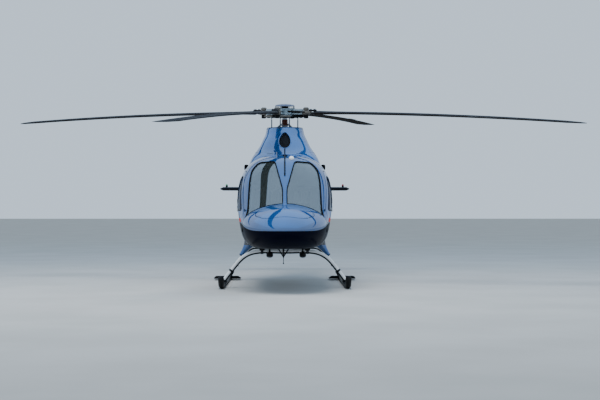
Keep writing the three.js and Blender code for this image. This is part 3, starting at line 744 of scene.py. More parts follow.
def resample(points: Array, spacing: float, loop: bool = False) -> Array:
    """Evenly spaced points along a line through given ones.

    Args:
        points: rows of any width.
        spacing: the wished distance in the first three columns.
        loop: joins the last point to the first.

    Returns:
        Rows of the same width.
    """
    line = np.concatenate([points, points[:1]]) if loop else points
    length = np.concatenate([[0.0], np.cumsum(np.linalg.norm(np.diff(line[:, :3], axis=0), axis=1))])
    count = max(2, int(round(length[-1] / spacing)) + (0 if loop else 1))
    where = np.linspace(0.0, length[-1], count, endpoint=not loop)
    return np.stack([np.interp(where, length, column) for column in line.T], 1)


def curve(points: Sequence, count: int = 40) -> Array:
    """A smooth line through points: a natural cubic over their distance.

    Args:
        points: rows of x, y, z.
        count: points of the line.

    Returns:
        Rows of x, y, z.
    """
    points = np.array(points, float)
    length = np.concatenate([[0.0], np.cumsum(np.linalg.norm(np.diff(points, axis=0), axis=1))])
    return spline(length, points)(np.linspace(0.0, length[-1], count))


def about(axis: Sequence[float], degrees: float) -> Array:
    """The matrix of a turn about an axis."""
    return np.array(Matrix.Rotation(math.radians(degrees), 3, Vector(axis)))


class Builder:
    """Collects surfaces into one mesh."""

    def __init__(self) -> None:
        """Starts empty."""
        self.points: list = []
        self.faces: list = []
        self.normals: list = []
        self.slots: list = []
        self.count = 0

    def add(self, points: Array, faces: Sequence, slot: int = 0, normals: Optional[Array] = None) -> None:
        """Adds a surface.

        Args:
            points: rows of x, y, z.
            faces: rows of point numbers.
            slot: the material's number.
            normals: one direction for each point, or None to take them from the faces.
        """
        start = self.count
        self.points.append(np.asarray(points, float).reshape(-1, 3))
        self.count += len(self.points[-1])
        for face in faces:
            self.faces.append([int(k) + start for k in face])
            self.slots.append(slot)
            self.normals.append(None if normals is None else [normals[int(k)] for k in face])

    def floor(self, height: float) -> None:
        """Lifts every point that is lower than a height up to it.

        Args:
            height: the lowest z.
        """
        self.points = [np.maximum(rows, (-np.inf, -np.inf, height)) for rows in self.points]

    def merge(self, other: "Builder", turn: Optional[Array] = None,
              move: Sequence[float] = (0, 0, 0)) -> None:
        """Adds another builder's surfaces, turned and moved.

        Args:
            other: the other builder.
            turn: a matrix, or None.
            move: a distance in x, y, z.
        """
        turn = np.eye(3) if turn is None else turn
        start = self.count
        self.points += [p @ turn.T + np.array(move) for p in other.points]
        self.count += other.count
        self.faces += [[k + start for k in face] for face in other.faces]
        self.normals += [None if n is None else [turn @ v for v in n] for n in other.normals]
        self.slots += other.slots

    def sheet(self, grid: Array, wrap: bool = False, loop: bool = False, ends: bool = False,
              slot: int = 0) -> None:
        """Adds a grid of points as quads.

        Args:
            grid: points, rows by columns by 3.
            wrap: joins the last column to the first.
            loop: joins the last row to the first.
            ends: closes the first and last row with one face each.
            slot: the material's number.
        """
        rows, columns = grid.shape[:2]
        numbers = np.arange(rows * columns).reshape(rows, columns)
        if wrap:
            numbers = np.concatenate([numbers, numbers[:, :1]], 1)
        if loop:
            numbers = np.concatenate([numbers, numbers[:1]], 0)
        quads = np.stack([numbers[:-1, :-1], numbers[:-1, 1:], numbers[1:, 1:], numbers[1:, :-1]], -1)
        faces = quads.reshape(-1, 4).tolist()
        if ends:
            faces += [list(range(columns))[::-1], list(range((rows - 1) * columns, rows * columns))]
        self.add(grid.reshape(-1, 3), faces, slot)

    def turned(self, profile: Sequence, at: Sequence[float] = (0, 0, 0), axis: Sequence[float] = (0, 0, 1),
               sides: int = 32, slot: int = 0) -> None:
        """Adds a turned body: the profile's radius and height carried round an axis.

        Args:
            profile: rows of radius and height. The last is joined to the first where both radii are above 0.
            at: the point of height 0.
            axis: the axis' direction.
            sides: steps round.
            slot: the material's number.
        """
        rows = np.array(profile, float)
        along = unit(np.array(axis, float))
        across = unit(np.cross(along, (0, 0, 1) if abs(along[2]) < 0.9 else (0, 1, 0)))
        other = np.cross(along, across)
        angle = circle(sides)
        spoke = np.cos(angle)[:, None] * across + np.sin(angle)[:, None] * other
        grid = np.array(at) + rows[:, :1, None] * spoke + rows[:, 1:, None] * along
        self.sheet(grid, wrap=True, loop=rows[0, 0] > 0 and rows[-1, 0] > 0, slot=slot)

    def rod(self, radius: float, low: float, high: float, at: Sequence[float] = (0, 0, 0),
            axis: Sequence[float] = (0, 0, 1), sides: int = 12, slot: int = 0) -> None:
        """Adds a cylinder from low to high along its axis."""
        self.turned([(0, low), (radius, low), (radius, high), (0, high)], at, axis, sides, slot)

    def strap(self, inner: float, outer: float, half: float, at: Sequence[float],
              axis: Sequence[float], sides: int = 40, slot: int = 1) -> None:
        """Adds a strap round a bar: a ring whose outer face is 1 mm shorter at both ends."""
        short = half - 0.001
        self.turned([(inner, -half), (outer, -short), (outer, short), (inner, half)], at, axis, sides, slot)

    def tube(self, path: Array, radius: Union[float, Array], sides: int = 16, slot: int = 0,
             flat: float = 1.0) -> None:
        """Adds a round bar: a circle carried along a path, upright on it, with closed ends.

        Args:
            path: rows of x, y, z.
            radius: one radius, or one for each row.
            sides: steps round.
            slot: the material's number.
            flat: the share of the radius that is left in the path's plane.
        """
        path = np.asarray(path, float)
        along = unit(np.gradient(path, axis=0))
        _, _, axes = np.linalg.svd(path - path.mean(0))
        across = unit(np.cross(along, axes[-1]))
        lift = np.cross(across, along)
        radius = np.broadcast_to(np.asarray(radius, float), len(path))[:, None, None]
        angle = circle(sides)[None, :, None]
        spoke = flat * np.cos(angle) * across[:, None] + np.sin(angle) * lift[:, None]
        grid = path[:, None] + radius * spoke
        self.sheet(grid, wrap=True, ends=True, slot=slot)

    def prism(self, outline: Array, low: float, high: float, axes: Sequence = ((1, 0, 0), (0, 1, 0)),
              at: Sequence[float] = (0, 0, 0), bevel: float = 0.002, slot: int = 0) -> None:
        """Adds an outline drawn out along its plane's normal, with the edges of both ends rounded off.

        Args:
            outline: a closed line, rows of two numbers.
            low: where it starts along the normal.
            high: where it ends.
            axes: the directions of the two numbers.
            at: the plane's origin.
            bevel: the radius of the rounding.
            slot: the material's number.
        """
        u, v = (unit(np.array(axis, float)) for axis in axes)
        along = unit(np.roll(outline, -1, 0) - np.roll(outline, 1, 0))
        following = np.roll(outline, -1, 0)
        area = np.sum(outline[:, 0] * following[:, 1] - following[:, 0] * outline[:, 1])
        out = np.stack([along[:, 1], -along[:, 0]], 1) * np.sign(area)
        turn = np.radians([0.0, 45.0, 90.0])
        inset = np.concatenate([1 - np.sin(turn), 1 - np.sin(turn[::-1])]) * bevel
        height = np.concatenate([low + (1 - np.cos(turn)) * bevel, high - (1 - np.cos(turn[::-1])) * bevel])
        flat = outline[None] - inset[:, None, None] * out[None]
        grid = np.array(at) + flat[..., :1] * u + flat[..., 1:] * v + height[:, None, None] * np.cross(u, v)
        self.sheet(grid, wrap=True, ends=True, slot=slot)

    def block(self, low: Sequence[float], high: Sequence[float], bevel: float = 0.003, slot: int = 0) -> None:
        """Adds a box with rounded edges.

        Args:
            low: its lowest corner.
            high: its highest corner.
            bevel: the radius of its edges.
            slot: the material's number.
        """
        (x0, y0, z0), (x1, y1, z1) = low, high
        ring = rounded([(x0, y0, bevel), (x1, y0, bevel), (x1, y1, bevel), (x0, y1, bevel)], 0.0, 3, 9.0)
        self.prism(ring, z0, z1, bevel=bevel, slot=slot)

    def slab(self, corners: Sequence[Sequence[float]], half: float, middle: float = 0.0,
             bevel: float = 0.002, slot: int = 0) -> None:
        """Adds a plate that stands across the machine, from a table of y, z and radius."""
        self.prism(whole(corners), middle - half, middle + half, SIDE_PLANE, bevel=bevel, slot=slot)

    def studs(self, points: Array, normals: Array, radius: float = 0.005, height: float = 0.0018,
              slot: int = 0) -> None:
        """Adds a low domed head at each point.

        Args:
            points: where they stand.
            normals: which way they point.
            radius: their radius.
            height: their height.
            slot: the material's number.
        """
        sides = 8
        normals = unit(normals)
        hint = np.where(np.abs(normals[:, 2:]) < 0.9, [[0.0, 0.0, 1.0]], [[0.0, 1.0, 0.0]])
        across = unit(np.cross(normals, hint))
        other = np.cross(normals, across)
        angle = circle(sides)[None, :, None]
        spoke = np.cos(angle) * across[:, None] + np.sin(angle) * other[:, None]
        rings = [points[:, None] + radius * share * spoke + normals[:, None] * height * up
                 for share, up in ((1.0, -0.6), (1.0, 0.35), (0.6, 1.0))]
        count = len(points)
        grid = np.stack(rings, 1).reshape(-1, 3)
        base = np.arange(count)[:, None] * 3 * sides
        ring = np.arange(sides)
        following = np.roll(ring, -1)
        faces = []
        for low in (base, base + sides):
            high = low + sides
            quads = np.stack([low + ring, low + following, high + following, high + ring], -1)
            faces += quads.reshape(-1, 4).tolist()
        faces += (base + 2 * sides + ring).tolist() + (base + ring[::-1]).tolist()
        self.add(grid, faces, slot)

    def ribbon(self, points: Array, normals: Array, half: float, height: float, slot: int = 0,
               loop: bool = True) -> None:
        """Adds a rounded strip that lies on a surface: a low arch carried along a line.

        Args:
            points: the line.
            normals: the surface's directions there.
            half: half the strip's width.
            height: how proud it stands.
            slot: the material's number.
            loop: joins the end to the start.
        """
        if loop:
            along = np.roll(points, -1, 0) - np.roll(points, 1, 0)
        else:
            along = np.gradient(points, axis=0)
        side = unit(np.cross(normals, unit(along)))
        rising = [(-1.0, -0.8), (-1.0, 0.25), (-0.6, 0.85), (0.0, 1.0)]
        arch = np.array(rising + [(-x, z) for x, z in rising[-2::-1]])
        across = arch[None, :, :1] * half * side[:, None]
        grid = points[:, None] + across + arch[None, :, 1:] * height * normals[:, None]
        self.sheet(grid, wrap=True, loop=loop, ends=not loop, slot=slot)

    def mirror(self) -> None:
        """Adds the mirror image of everything so far in x."""
        sign = np.array([-1.0, 1.0, 1.0])
        offset = self.count
        self.points += [p * sign for p in self.points]
        self.count *= 2
        self.faces += [[k + offset for k in face[::-1]] for face in self.faces]
        self.normals += [None if n is None else [v * sign for v in n[::-1]] for n in self.normals]
        self.slots += list(self.slots)

    def flip(self, side: "Side") -> None:
        """Turns everything so far into its mirror image in x, for the right side.

        Args:
            side: the side the piece is for.
        """
        if side is Side.LEFT:
            return
        sign = np.array([-1.0, 1.0, 1.0])
        self.points = [p * sign for p in self.points]
        self.faces = [face[::-1] for face in self.faces]
        self.normals = [None if n is None else [v * sign for v in n[::-1]] for n in self.normals]

    def _welded(self, weld: float) -> tuple:
        """Merges points that lie together.

        Args:
            weld: how near they are.

        Returns:
            Points, faces, and the normals and slots of the faces.
        """
        points = np.concatenate(self.points)
        _, first, back = np.unique(np.round(points / weld).astype(np.int64), axis=0, return_index=True,
                                   return_inverse=True)
        back = back.reshape(-1)
        faces, normals, slots = [], [], []
        for face, given, slot in zip(self.faces, self.normals, self.slots):
            moved = [int(back[k]) for k in face]
            kept = [k for k in range(len(moved)) if moved[k] != moved[k - 1]]
            if len(kept) < 3 or len({moved[k] for k in kept}) < len(kept):
                continue
            faces.append([moved[k] for k in kept])
            normals.append(None if given is None else [given[k] for k in kept])
            slots.append(slot)
        return points[first], faces, normals, slots

    def build(self, name: str, materials: Sequence[bpy.types.Material], smooth: float = 38.0,
              weld: float = 1e-5) -> bpy.types.Object:
        """Makes the object.

        Args:
            name: its name.
            materials: one for each slot number.
            smooth: edges sharper than this many degrees stay sharp.
            weld: points nearer than this are merged.

        Returns:
            The object, in the scene.
        """
        points, faces, normals, slots = self._welded(weld)
        mesh = bpy.data.meshes.new(name)
        mesh.from_pydata(points.tolist(), [], faces)
        mesh.polygons.foreach_set("material_index", slots)
        given = any(n is not None for n in normals)
        if not given:
            shape = bmesh.new()
            shape.from_mesh(mesh)
            bmesh.ops.recalc_face_normals(shape, faces=shape.faces)
            shape.to_mesh(mesh)
            shape.free()
        mesh.polygons.foreach_set("use_smooth", [True] * len(mesh.polygons))
        mesh.update()
        mesh.set_sharp_from_angle(angle=math.radians(smooth))
        if given:
            corners = []
            for polygon, directions in zip(mesh.polygons, normals):
                corners += directions if directions is not None else [polygon.normal] * len(polygon.vertices)
            mesh.normals_split_custom_set([tuple(v) for v in corners])
        for material in materials:
            mesh.materials.append(material)
        piece = bpy.data.objects.new(name, mesh)
        bpy.context.scene.collection.objects.link(piece)
        return piece


@dataclass
class Panel:
    """A stretch of a skin between outlines, as a plate with real thickness.

    The plate is drawn in the plane of the skin's two parameters, cut into triangles there and lifted onto it.
    """

    surface: Surface
    outer: Array
    holes: list = field(default_factory=list)
    thickness: float = 0.045
    depth: float = 0.0
    pitch: float = 0.04

    def cut(self) -> tuple:
        """Cuts the plane between the outlines into triangles.

        Returns:
            Rows of both parameters, and triangles.
        """
        scale = np.array(self.surface.scale)
        outlines = [outline * scale for outline in (self.outer, *self.holes)]
        low, high = outlines[0].min(0), outlines[0].max(0)
        u = np.arange(low[0] + self.pitch / 2, high[0], self.pitch)
        v = np.arange(low[1] + self.pitch / 2, high[1], self.pitch)
        grid = np.stack(np.meshgrid(u, v), -1).reshape(-1, 2)
        keep = inside(grid, outlines[0])
        for hole in outlines[1:]:
            keep &= ~inside(grid, hole)
        grid = grid[keep]
        for outline in outlines:
            grid = grid[distance_to(grid, outline) > self.pitch * 0.45]
        edges = []
        start = 0
        for outline in outlines:
            ring = list(range(start, start + len(outline)))
            edges += list(zip(ring, ring[1:] + ring[:1]))
            start += len(outline)
        corners = [Vector(p) for p in np.concatenate([*outlines, grid])]
        result = delaunay_2d_cdt(corners, edges, [], 1, 1e-9)
        flat = np.array([tuple(p) for p in result[0]])
        faces = np.array([list(face) for face in result[2]])
        centre = flat[faces].mean(1)
        good = inside(centre, outlines[0])
        for hole in outlines[1:]:
            good &= ~inside(centre, hole)
        return flat / scale, faces[good]

    def add_to(self, builder: Builder, inner_slot: int = 0) -> None:
        """Adds the plate: its outer face, its inner face and its edges, but no edge on the centre plane.

        Args:
            builder: where it goes.
            inner_slot: the inner face's material number.
        """
        flat, faces = self.cut()
        normal = self.surface.normal(flat[:, 0], flat[:, 1])
        upper = self.surface.point(flat[:, 0], flat[:, 1]) - normal * self.depth
        lower = upper - normal * self.thickness
        lower[np.abs(upper[:, 0]) < 1e-6, 0] = 0.0
        corner = upper[faces]
        facing = np.cross(corner[:, 1] - corner[:, 0], corner[:, 2] - corner[:, 0])
        turn = np.sum(facing * normal[faces[:, 0]], 1)
        faces[turn < 0] = faces[turn < 0][:, ::-1]
        builder.add(upper, faces, 0, normal)
        builder.add(lower, faces[:, ::-1], inner_slot, -normal)
        way = np.concatenate([faces[:, [0, 1]], faces[:, [1, 2]], faces[:, [2, 0]]])
        _, first, count = np.unique(np.sort(way, 1), axis=0, return_index=True, return_counts=True)
        rim = way[first[count == 1]]
        centred = np.all(np.abs(upper[rim][..., 0]) < 1e-6, 1)
        rim = rim[~centred]
        walls = np.stack([upper[rim[:, 1]], upper[rim[:, 0]], lower[rim[:, 0]], lower[rim[:, 1]]], 1)
        builder.add(walls.reshape(-1, 3), np.arange(len(rim) * 4).reshape(-1, 4))


@dataclass
class Workshop:
    """Finishes pieces: puts them in the machine's axes, dresses them and hands them to the frame."""

    finishes: dict
    mast_y: float
    hub_z: float = 3.05
    mast_tilt: float = 3.0
    pads: dict = field(default_factory=dict)

    def piece(self, builder: Builder, name: str, slots: Sequence[str], body: str = "airframe",
              replaces: Sequence[str] = (), rotor: bool = False, smooth: float = 38.0) -> bpy.types.Object:
        """Makes one piece.

        Args:
            builder: its surfaces, in metres from the mast, or from the hub for the rotor's pieces.
            name: its name.
            slots: names of finishes, one for each slot number.
            body: the body that it rides on.
            replaces: solids that it stands for.
            rotor: True in the rotor's own axes, which lean with the mast.
            smooth: edges sharper than this many degrees stay sharp.

        Returns:
            The piece.
        """
        placed = Builder()
        if rotor:
            placed.merge(builder, about((1, 0, 0), self.mast_tilt), (0.0, self.mast_y, self.hub_z))
        else:
            placed.merge(builder, None, (0.0, self.mast_y, 0.0))
        piece = placed.build(name, [self.finishes[slot] for slot in slots], smooth)
        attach(piece, body)
        if replaces:
            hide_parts(*replaces)
        LOG.info("built %s, %d faces", name, len(piece.data.polygons))
        return piece


@dataclass
class Body:
    """The hull's panels, doors, lids and windows, with their seals, hinges and fasteners."""

    hull: Hull
    thickness: float = 0.045
    gap: float = 0.010
    # Columns: y, z and radius
    crew_door: tuple = (
        (-2.79, 0.83, 0.06), (-2.855, 1.24, 0.12), (-2.02, 1.86, 0.12), (-1.87, 1.945, 0.06),
        (-1.635, 1.945, 0.06), (-1.635, 0.83, 0.06),
    )
    crew_window: tuple = (
        (-2.70, 1.29, 0.06), (-2.03, 1.79, 0.10), (-1.90, 1.86, 0.06), (-1.735, 1.86, 0.06),
        (-1.735, 1.29, 0.06),
    )
    cabin_door: tuple = ((-1.55, 0.83, 0.06), (-1.55, 1.945, 0.06), (-0.36, 1.945, 0.10), (-0.36, 0.83, 0.10))
    cabin_window: tuple = ((-1.45, 1.29, 0.07), (-1.45, 1.85, 0.07), (-0.47, 1.85, 0.10), (-0.47, 1.29, 0.09))
    aft_window: tuple = ((-0.22, 1.33, 0.07), (-0.22, 1.83, 0.08), (0.25, 1.80, 0.12), (0.25, 1.36, 0.09))
    baggage_door: tuple = ((0.56, 1.01, 0.05), (0.56, 1.56, 0.05), (1.13, 1.56, 0.05), (1.13, 1.01, 0.05))
    baggage_turn: float = 11.0
    # Columns: x, z and radius
    windshield: tuple = (
        (0.034, 1.14, 0.005), (0.034, 1.64, 0.06), (0.165, 2.115, 0.05), (0.44, 2.095, 0.06),
        (0.555, 1.96, 0.06), (0.588, 1.76, 0.06), (0.60, 1.30, 0.06), (0.64, 1.14, 0.01),
    )
    windshield_front: float = -2.990
    # Columns: x, y and radius
    nose_lid: tuple = (
        (-0.43, -3.12, 0.06), (0.43, -3.12, 0.06), (0.47, -3.35, 0.08), (0.30, -3.70, 0.16),
        (-0.30, -3.70, 0.16), (-0.47, -3.35, 0.08),
    )
    lid_hinge: tuple = (-3.12, 1.37)
    lid_tilt: float = 23.0
    # Columns: y and z
    handle: tuple = (-1.693, 1.317)
    cabin_latch: tuple = (-0.45, 1.16)
    baggage_latch: tuple = (1.04, 1.30)
    # Columns: y of the hinge line, z of both hinges
    hinges: tuple = ((-2.838, (0.98, 1.28)), (-1.55, (0.98, 1.45)))
    hinge_profile: tuple = ((0, -0.034), (0.008, -0.032), (0.008, 0.032), (0, 0.034))
    pane_thickness: float = 0.010
    pane_depth: float = 0.014
    seal_depth: float = 0.026
    screw_inset: float = 0.018
    # Stations of the screw rows round the hull, and rows along it: z, first and last y
    screw_rings: tuple = (-3.022, -2.976, 0.428, 0.472, 2.375)
    screw_rows: tuple = ((0.79, -2.75, 0.4), (2.0, -1.8, 0.4), (1.06, 0.55, 1.5))

    def side(self, table: Sequence, grow: float = 0.0) -> Array:
        """A side outline on the hull's left flank."""
        return self.hull.side(rounded(table, grow))

    def front(self, grow: float = 0.0) -> Array:
        """The left windshield's outline on the hull: lines along y meet the skin.

        Args:
            grow: how far outside the pane's edge.

        Returns:
            Rows of station and angle.
        """
        flat = rounded(self.windshield, grow)
        start = np.stack([np.full(len(flat), self.windshield_front), flat[:, 1]], 1)
        return self.hull.meet(flat[:, 0], start, (1.0, 0.0), 1.1)

    def lid(self, grow: float = 0.0) -> Array:
        """The nose lid's outline on the hull: lines along the tilted lid's own upright meet the skin.

        Args:
            grow: how far outside the lid's edge.

        Returns:
            Rows of station and angle.
        """
        flat = rounded(self.nose_lid, grow)
        tilt = math.radians(self.lid_tilt)
        ahead = flat[:, 1] - self.lid_hinge[0]
        high = 0.30
        y = self.lid_hinge[0] + ahead * math.cos(tilt) - high * math.sin(tilt)
        z = self.lid_hinge[1] + ahead * math.sin(tilt) + high * math.cos(tilt)
        return self.hull.meet(flat[:, 0], np.stack([y, z], 1), (math.sin(tilt), -math.cos(tilt)), 0.7)

    def baggage(self, grow: float = 0.0) -> Array:
        """The baggage door's outline, drawn on a plane turned about its front edge.

        Args:
            grow: how far outside the door's edge.

        Returns:
            Rows of station and angle.
        """
        flat = rounded(self.baggage_door, grow)
        front = self.baggage_door[0][0]
        flat[:, 0] = front + (flat[:, 0] - front) * math.cos(math.radians(self.baggage_turn))
        return self.hull.side(flat)

    def build(self, shop: Workshop) -> None:
        """Makes every piece.

        Args:
            shop: the workshop.
        """
        self._shells(shop)
        for side in Side:
            self._doors(shop, side)
            self._panes(shop, side)
        self._seals(shop)
        self._fasteners(shop)

    def _shells(self, shop: Workshop) -> None:
        """The nose, its lid, the cabin's frame, and the rear body with the baggage door.

        Args:
            shop: the workshop.
        """
        quarter = math.pi / 2
        nose = Builder()
        outer = rectangle(self.hull.first, -quarter, self.hull.nose_end, 3 * quarter)
        Panel(self.hull, outer, [self.lid(self.gap)], self.thickness).add_to(nose)
        shop.piece(nose, "nose_skin", ["blue_paint"], replaces=["nose_shell"])
        lid = Builder()
        Panel(self.hull, self.lid(), [], self.thickness, pitch=0.03).add_to(lid)
        lid.studs(*self.hull.evenly(self.lid(-self.screw_inset), 0.05), 0.0055, 0.002, 1)
        shop.piece(lid, "nose_lid_skin", ["blue_paint", "fastener"], "nose_bay_lid", ["nose_bay_lid"])

        frame = Builder()
        holes = [self.front(HAIR), self.side(self.crew_door, self.gap), self.side(self.cabin_door, self.gap),
                 self.side(self.aft_window, HAIR)]
        outer = rectangle(self.hull.nose_end + HAIR, -quarter, self.hull.aft_start, quarter)
        Panel(self.hull, outer, holes, self.thickness).add_to(frame, inner_slot=1)
        frame.mirror()
        shop.piece(frame, "cabin_skin", ["blue_paint", "trim_cloth"], replaces=["cabin_frame"])

        rear = Builder()
        outer = rectangle(self.hull.aft_start + HAIR, -quarter, self.hull.aft_end, quarter)
        Panel(self.hull, outer, [], self.thickness).add_to(rear)
        rear.flip(Side.RIGHT)
        Panel(self.hull, outer, [self.baggage(self.gap)], self.thickness).add_to(rear)
        shop.piece(rear, "rear_body_skin", ["blue_paint"], replaces=["aft_fuselage"])
        door = Builder()
        Panel(self.hull, self.baggage(), [], self.thickness).add_to(door)
        self._flush_latch(door, *self.baggage_latch)
        shop.piece(door, "baggage_door_skin", ["blue_paint", "bare_steel"], "baggage_door", ["baggage_door"])

    def _doors(self, shop: Workshop, side: Side) -> None:
        """One side's two doors with their handles and inner linings.

        Args:
            shop: the workshop.
            side: which side.
        """
        for name, door, window in (("crew_door", self.crew_door, self.crew_window),
                                   ("cabin_door", self.cabin_door, self.cabin_window)):
            builder = Builder()
            window_edge = self.side(window, HAIR)
            Panel(self.hull, self.side(door), [window_edge], self.thickness).add_to(builder, inner_slot=2)
            if name == "crew_door":
                self._handle(builder)
            else:
                self._flush_latch(builder, *self.cabin_latch)
            builder.flip(side)
            shop.piece(builder, f"{name}_skin_{side.word}", ["blue_paint", "bare_steel", "trim_plastic"],
                       f"{name}_{side.word}", [f"{name}_{side.word}"])

    def _handle(self, builder: Builder) -> None:
        """The crew door's outside handle: a plate and a lever on two feet.

        Args:
            builder: where it goes.
        """
        at = self._flank(*self.handle)
        lever = rounded([(-0.012, -0.05, 0.012), (0.012, -0.05, 0.012), (0.015, 0.05, 0.015),
                         (-0.015, 0.05, 0.015)])
        builder.prism(oblong(0.026, 0.052, 0.02), -0.004, 0.004, SIDE_PLANE, at, 0.002, 1)
        builder.prism(lever, 0.008, 0.017, SIDE_PLANE, at, 0.003, 1)
        for up in (-0.032, 0.032):
            builder.rod(0.007, 0.0, 0.012, at + np.array([0.0, 0.0, up]), (1, 0, 0), slot=1)

    def _flush_latch(self, builder: Builder, y: float, z: float) -> None:
        """A flush latch: a rounded plate with a paddle, level with the skin.

        Args:
            builder: where it goes.
            y: its place along the flank.
            z: its height.
        """
        at = self._flank(y, z)
        normal = self.hull.normal(*self.hull.side(np.array([[y, z]])).T)[0]
        along = unit(np.cross((0, 0, 1), normal))
        axes = (along, np.cross(normal, along))
        paddle = rounded([(-0.036, -0.016, 0.012), (0.012, -0.016, 0.012), (0.012, 0.016, 0.012),
                          (-0.036, 0.016, 0.012)])
        builder.prism(oblong(0.045, 0.026, 0.02), -0.004, 0.002, axes, at, 0.001, 1)
        builder.prism(paddle, 0.001, 0.0045, axes, at, 0.0015, 1)

    def _flank(self, y: float, z: float) -> Array:
        """The point of the left flank at y and z."""
        return self.hull.point(*self.hull.side(np.array([[y, z]])).T)[0]

    def _panes(self, shop: Workshop, side: Side) -> None:
        """One side's panes, each with the rubber that holds it.

        Args:
            shop: the workshop.
            side: which side.
        """
        # Columns: name, outline, body, half the rubber's width
        rows = (("windshield", self.front(), "airframe", 0.0085),
                ("crew_window", self.side(self.crew_window), f"crew_door_{side.word}", 0.0075),
                ("cabin_window", self.side(self.cabin_window), f"cabin_door_{side.word}", 0.0075),
                ("aft_window", self.side(self.aft_window), "airframe", 0.0075))
        for name, outline, body, half in rows:
            pane = Builder()
            Panel(self.hull, outline, [], self.pane_thickness, self.pane_depth).add_to(pane)
            pane.flip(side)
            finish = "glazing" if name == "windshield" else "side_glazing"
            shop.piece(pane, f"{name}_pane_{side.word}", [finish], body, [f"{name}_{side.word}"])
            rubber = Builder()
            points, normals = self.hull.evenly(outline, 0.02)
            normals = unit(normals)
            rubber.ribbon(points, normals, half, 0.003)
            rubber.ribbon(points - normals * 0.019, normals, 0.011, 0.012)
            rubber.flip(side)
            shop.piece(rubber, f"{name}_rubber_{side.word}", ["rubber"], body)

    def _seals(self, shop: Workshop) -> None:
        """Soft seals deep in the gaps round the doors, and the doors' hinges.

        Args:
            shop: the workshop.
        """
        seals = Builder()
        middle = self.gap / 2
        for door in (self.crew_door, self.cabin_door):
            self._seal(seals, self.side(door, middle))
        for y, levels in self.hinges:
            for z in levels:
                at = self._flank(y, z) + np.array([0.001, 0, 0])
                seals.turned(self.hinge_profile, at, (0, 0, 1), 14)
        seals.mirror()
        self._seal(seals, self.lid(middle))
        self._seal(seals, self.baggage(middle))
        shop.piece(seals, "door_seals", ["rubber"])

    def _seal(self, seals: Builder, outline: Array) -> None:
        """One seal along an outline."""
        points, normals = self.hull.line(outline)
        seals.ribbon(points - normals * self.seal_depth, normals, 0.0042, 0.004)

    def _fasteners(self, shop: Workshop) -> None:
        """Screw heads round the windshields and aft windows, on the panel joints and along the flanks.

        Args:
            shop: the workshop.
        """
        heads = Builder()
        for outline, spacing in ((self.front(0.024), 0.055), (self.side(self.aft_window, 0.02), 0.06)):
            points, normals = self.hull.evenly(outline, spacing)
            keep = points[:, 1] > self.hull.nose_end + 0.02
            heads.studs(points[keep], normals[keep])
        angles = np.radians(np.arange(-80.0, 88.0, 3.4))
        for station in self.screw_rings:
            heads.studs(*self.hull.line(np.stack([np.full(len(angles), station), angles], 1)))
        for z, start, end in self.screw_rows:
            y = np.arange(start, end, 0.065)
            heads.studs(*self.hull.line(self.hull.side(np.stack([y, np.full(len(y), z)], 1))))
        heads.mirror()
        shop.piece(heads, "hull_fasteners", ["fastener"])


@dataclass
class Pylon(Surface):
    """The fairing round the gearbox: level rings, rounded in front and straight behind.

    x = w * sin(a) ^ 0.8 and y = front + d * (1 - cos(a) ^ 0.8) for |u| up to 1, where a is a quarter turn
    times |u|; beyond it the ring runs straight back to the rear end. v is z.
    """

    # Columns: z, half width, front y
    rows: tuple = (
        (2.060, 0.632, -1.350), (2.230, 0.562, -1.160), (2.310, 0.516, -0.990), (2.440, 0.438, -0.800),
        (2.540, 0.396, -0.680), (2.660, 0.348, -0.530), (2.745, 0.330, -0.440), (2.770, 0.318, -0.405),
    )
    rear: float = 0.42
    depth: float = 0.42
    wall: float = 0.018
    inlet: tuple = (2.500, 0.103, 0.168, 0.123)
    scale: tuple = (0.62, 1.0)

    def __post_init__(self) -> None:
        """Fits the curve through the rings."""
        self._rings = spline(np.array(self.rows)[:, 0], np.array(self.rows)[:, 1:])

    def point(self, u: Array, v: Array) -> Array:
        """Points on the fairing.

        Args:
            u: the first parameter.
            v: heights.

        Returns:
            Points.
        """
        u, v = np.broadcast_arrays(np.asarray(u, float), np.asarray(v, float))
        half, front = np.moveaxis(self._rings(v), -1, 0)
        turn = np.minimum(np.abs(u), 1.0) * math.pi / 2
        back = front + self.depth * (1.0 - np.maximum(np.cos(turn), 0.0) ** 0.8)
        over = np.clip(np.abs(u) - 1.0, 0.0, 1.0)
        return np.stack([half * np.sin(turn) ** 0.8 * np.sign(u), back + over * (self.rear - back), v], -1)

    def centre(self, u: Array, v: Array) -> Array:
        """Points well inside the fairing."""
        y = np.clip(self.point(u, v)[..., 1], -0.1, 0.4)
        return np.stack([np.zeros_like(v), y, np.asarray(v) - 0.3], -1)

    def on_front(self, flat: Array) -> Array:
        """An outline of x and z on the fairing's front.

        Args:
            flat: rows of x and z.

        Returns:
            Rows of both parameters.
        """
        half = self._rings(flat[:, 1])[:, 0]
        turn = np.arcsin(np.clip(np.abs(flat[:, 0]) / half, 0.0, 1.0) ** 1.25)
        return np.stack([np.sign(flat[:, 0]) * turn / (math.pi / 2), flat[:, 1]], 1)

    def egg(self, grow: float = 0.0) -> Array:
        """The air inlet's outline of x and z: an ellipse with two heights, narrower at its top.

        Args:
            grow: how far outside the inlet's edge.

        Returns:
            Rows of x and z.
        """
        z, half, up, down = self.inlet
        angle = circle(72)
        sine = np.sin(angle)
        width = (half + grow) * (1.0 - 0.22 * np.maximum(sine, 0.0) ** 2)
        return np.stack([width * np.cos(angle), z + sine * (grow + np.where(sine > 0, up, down))], 1)


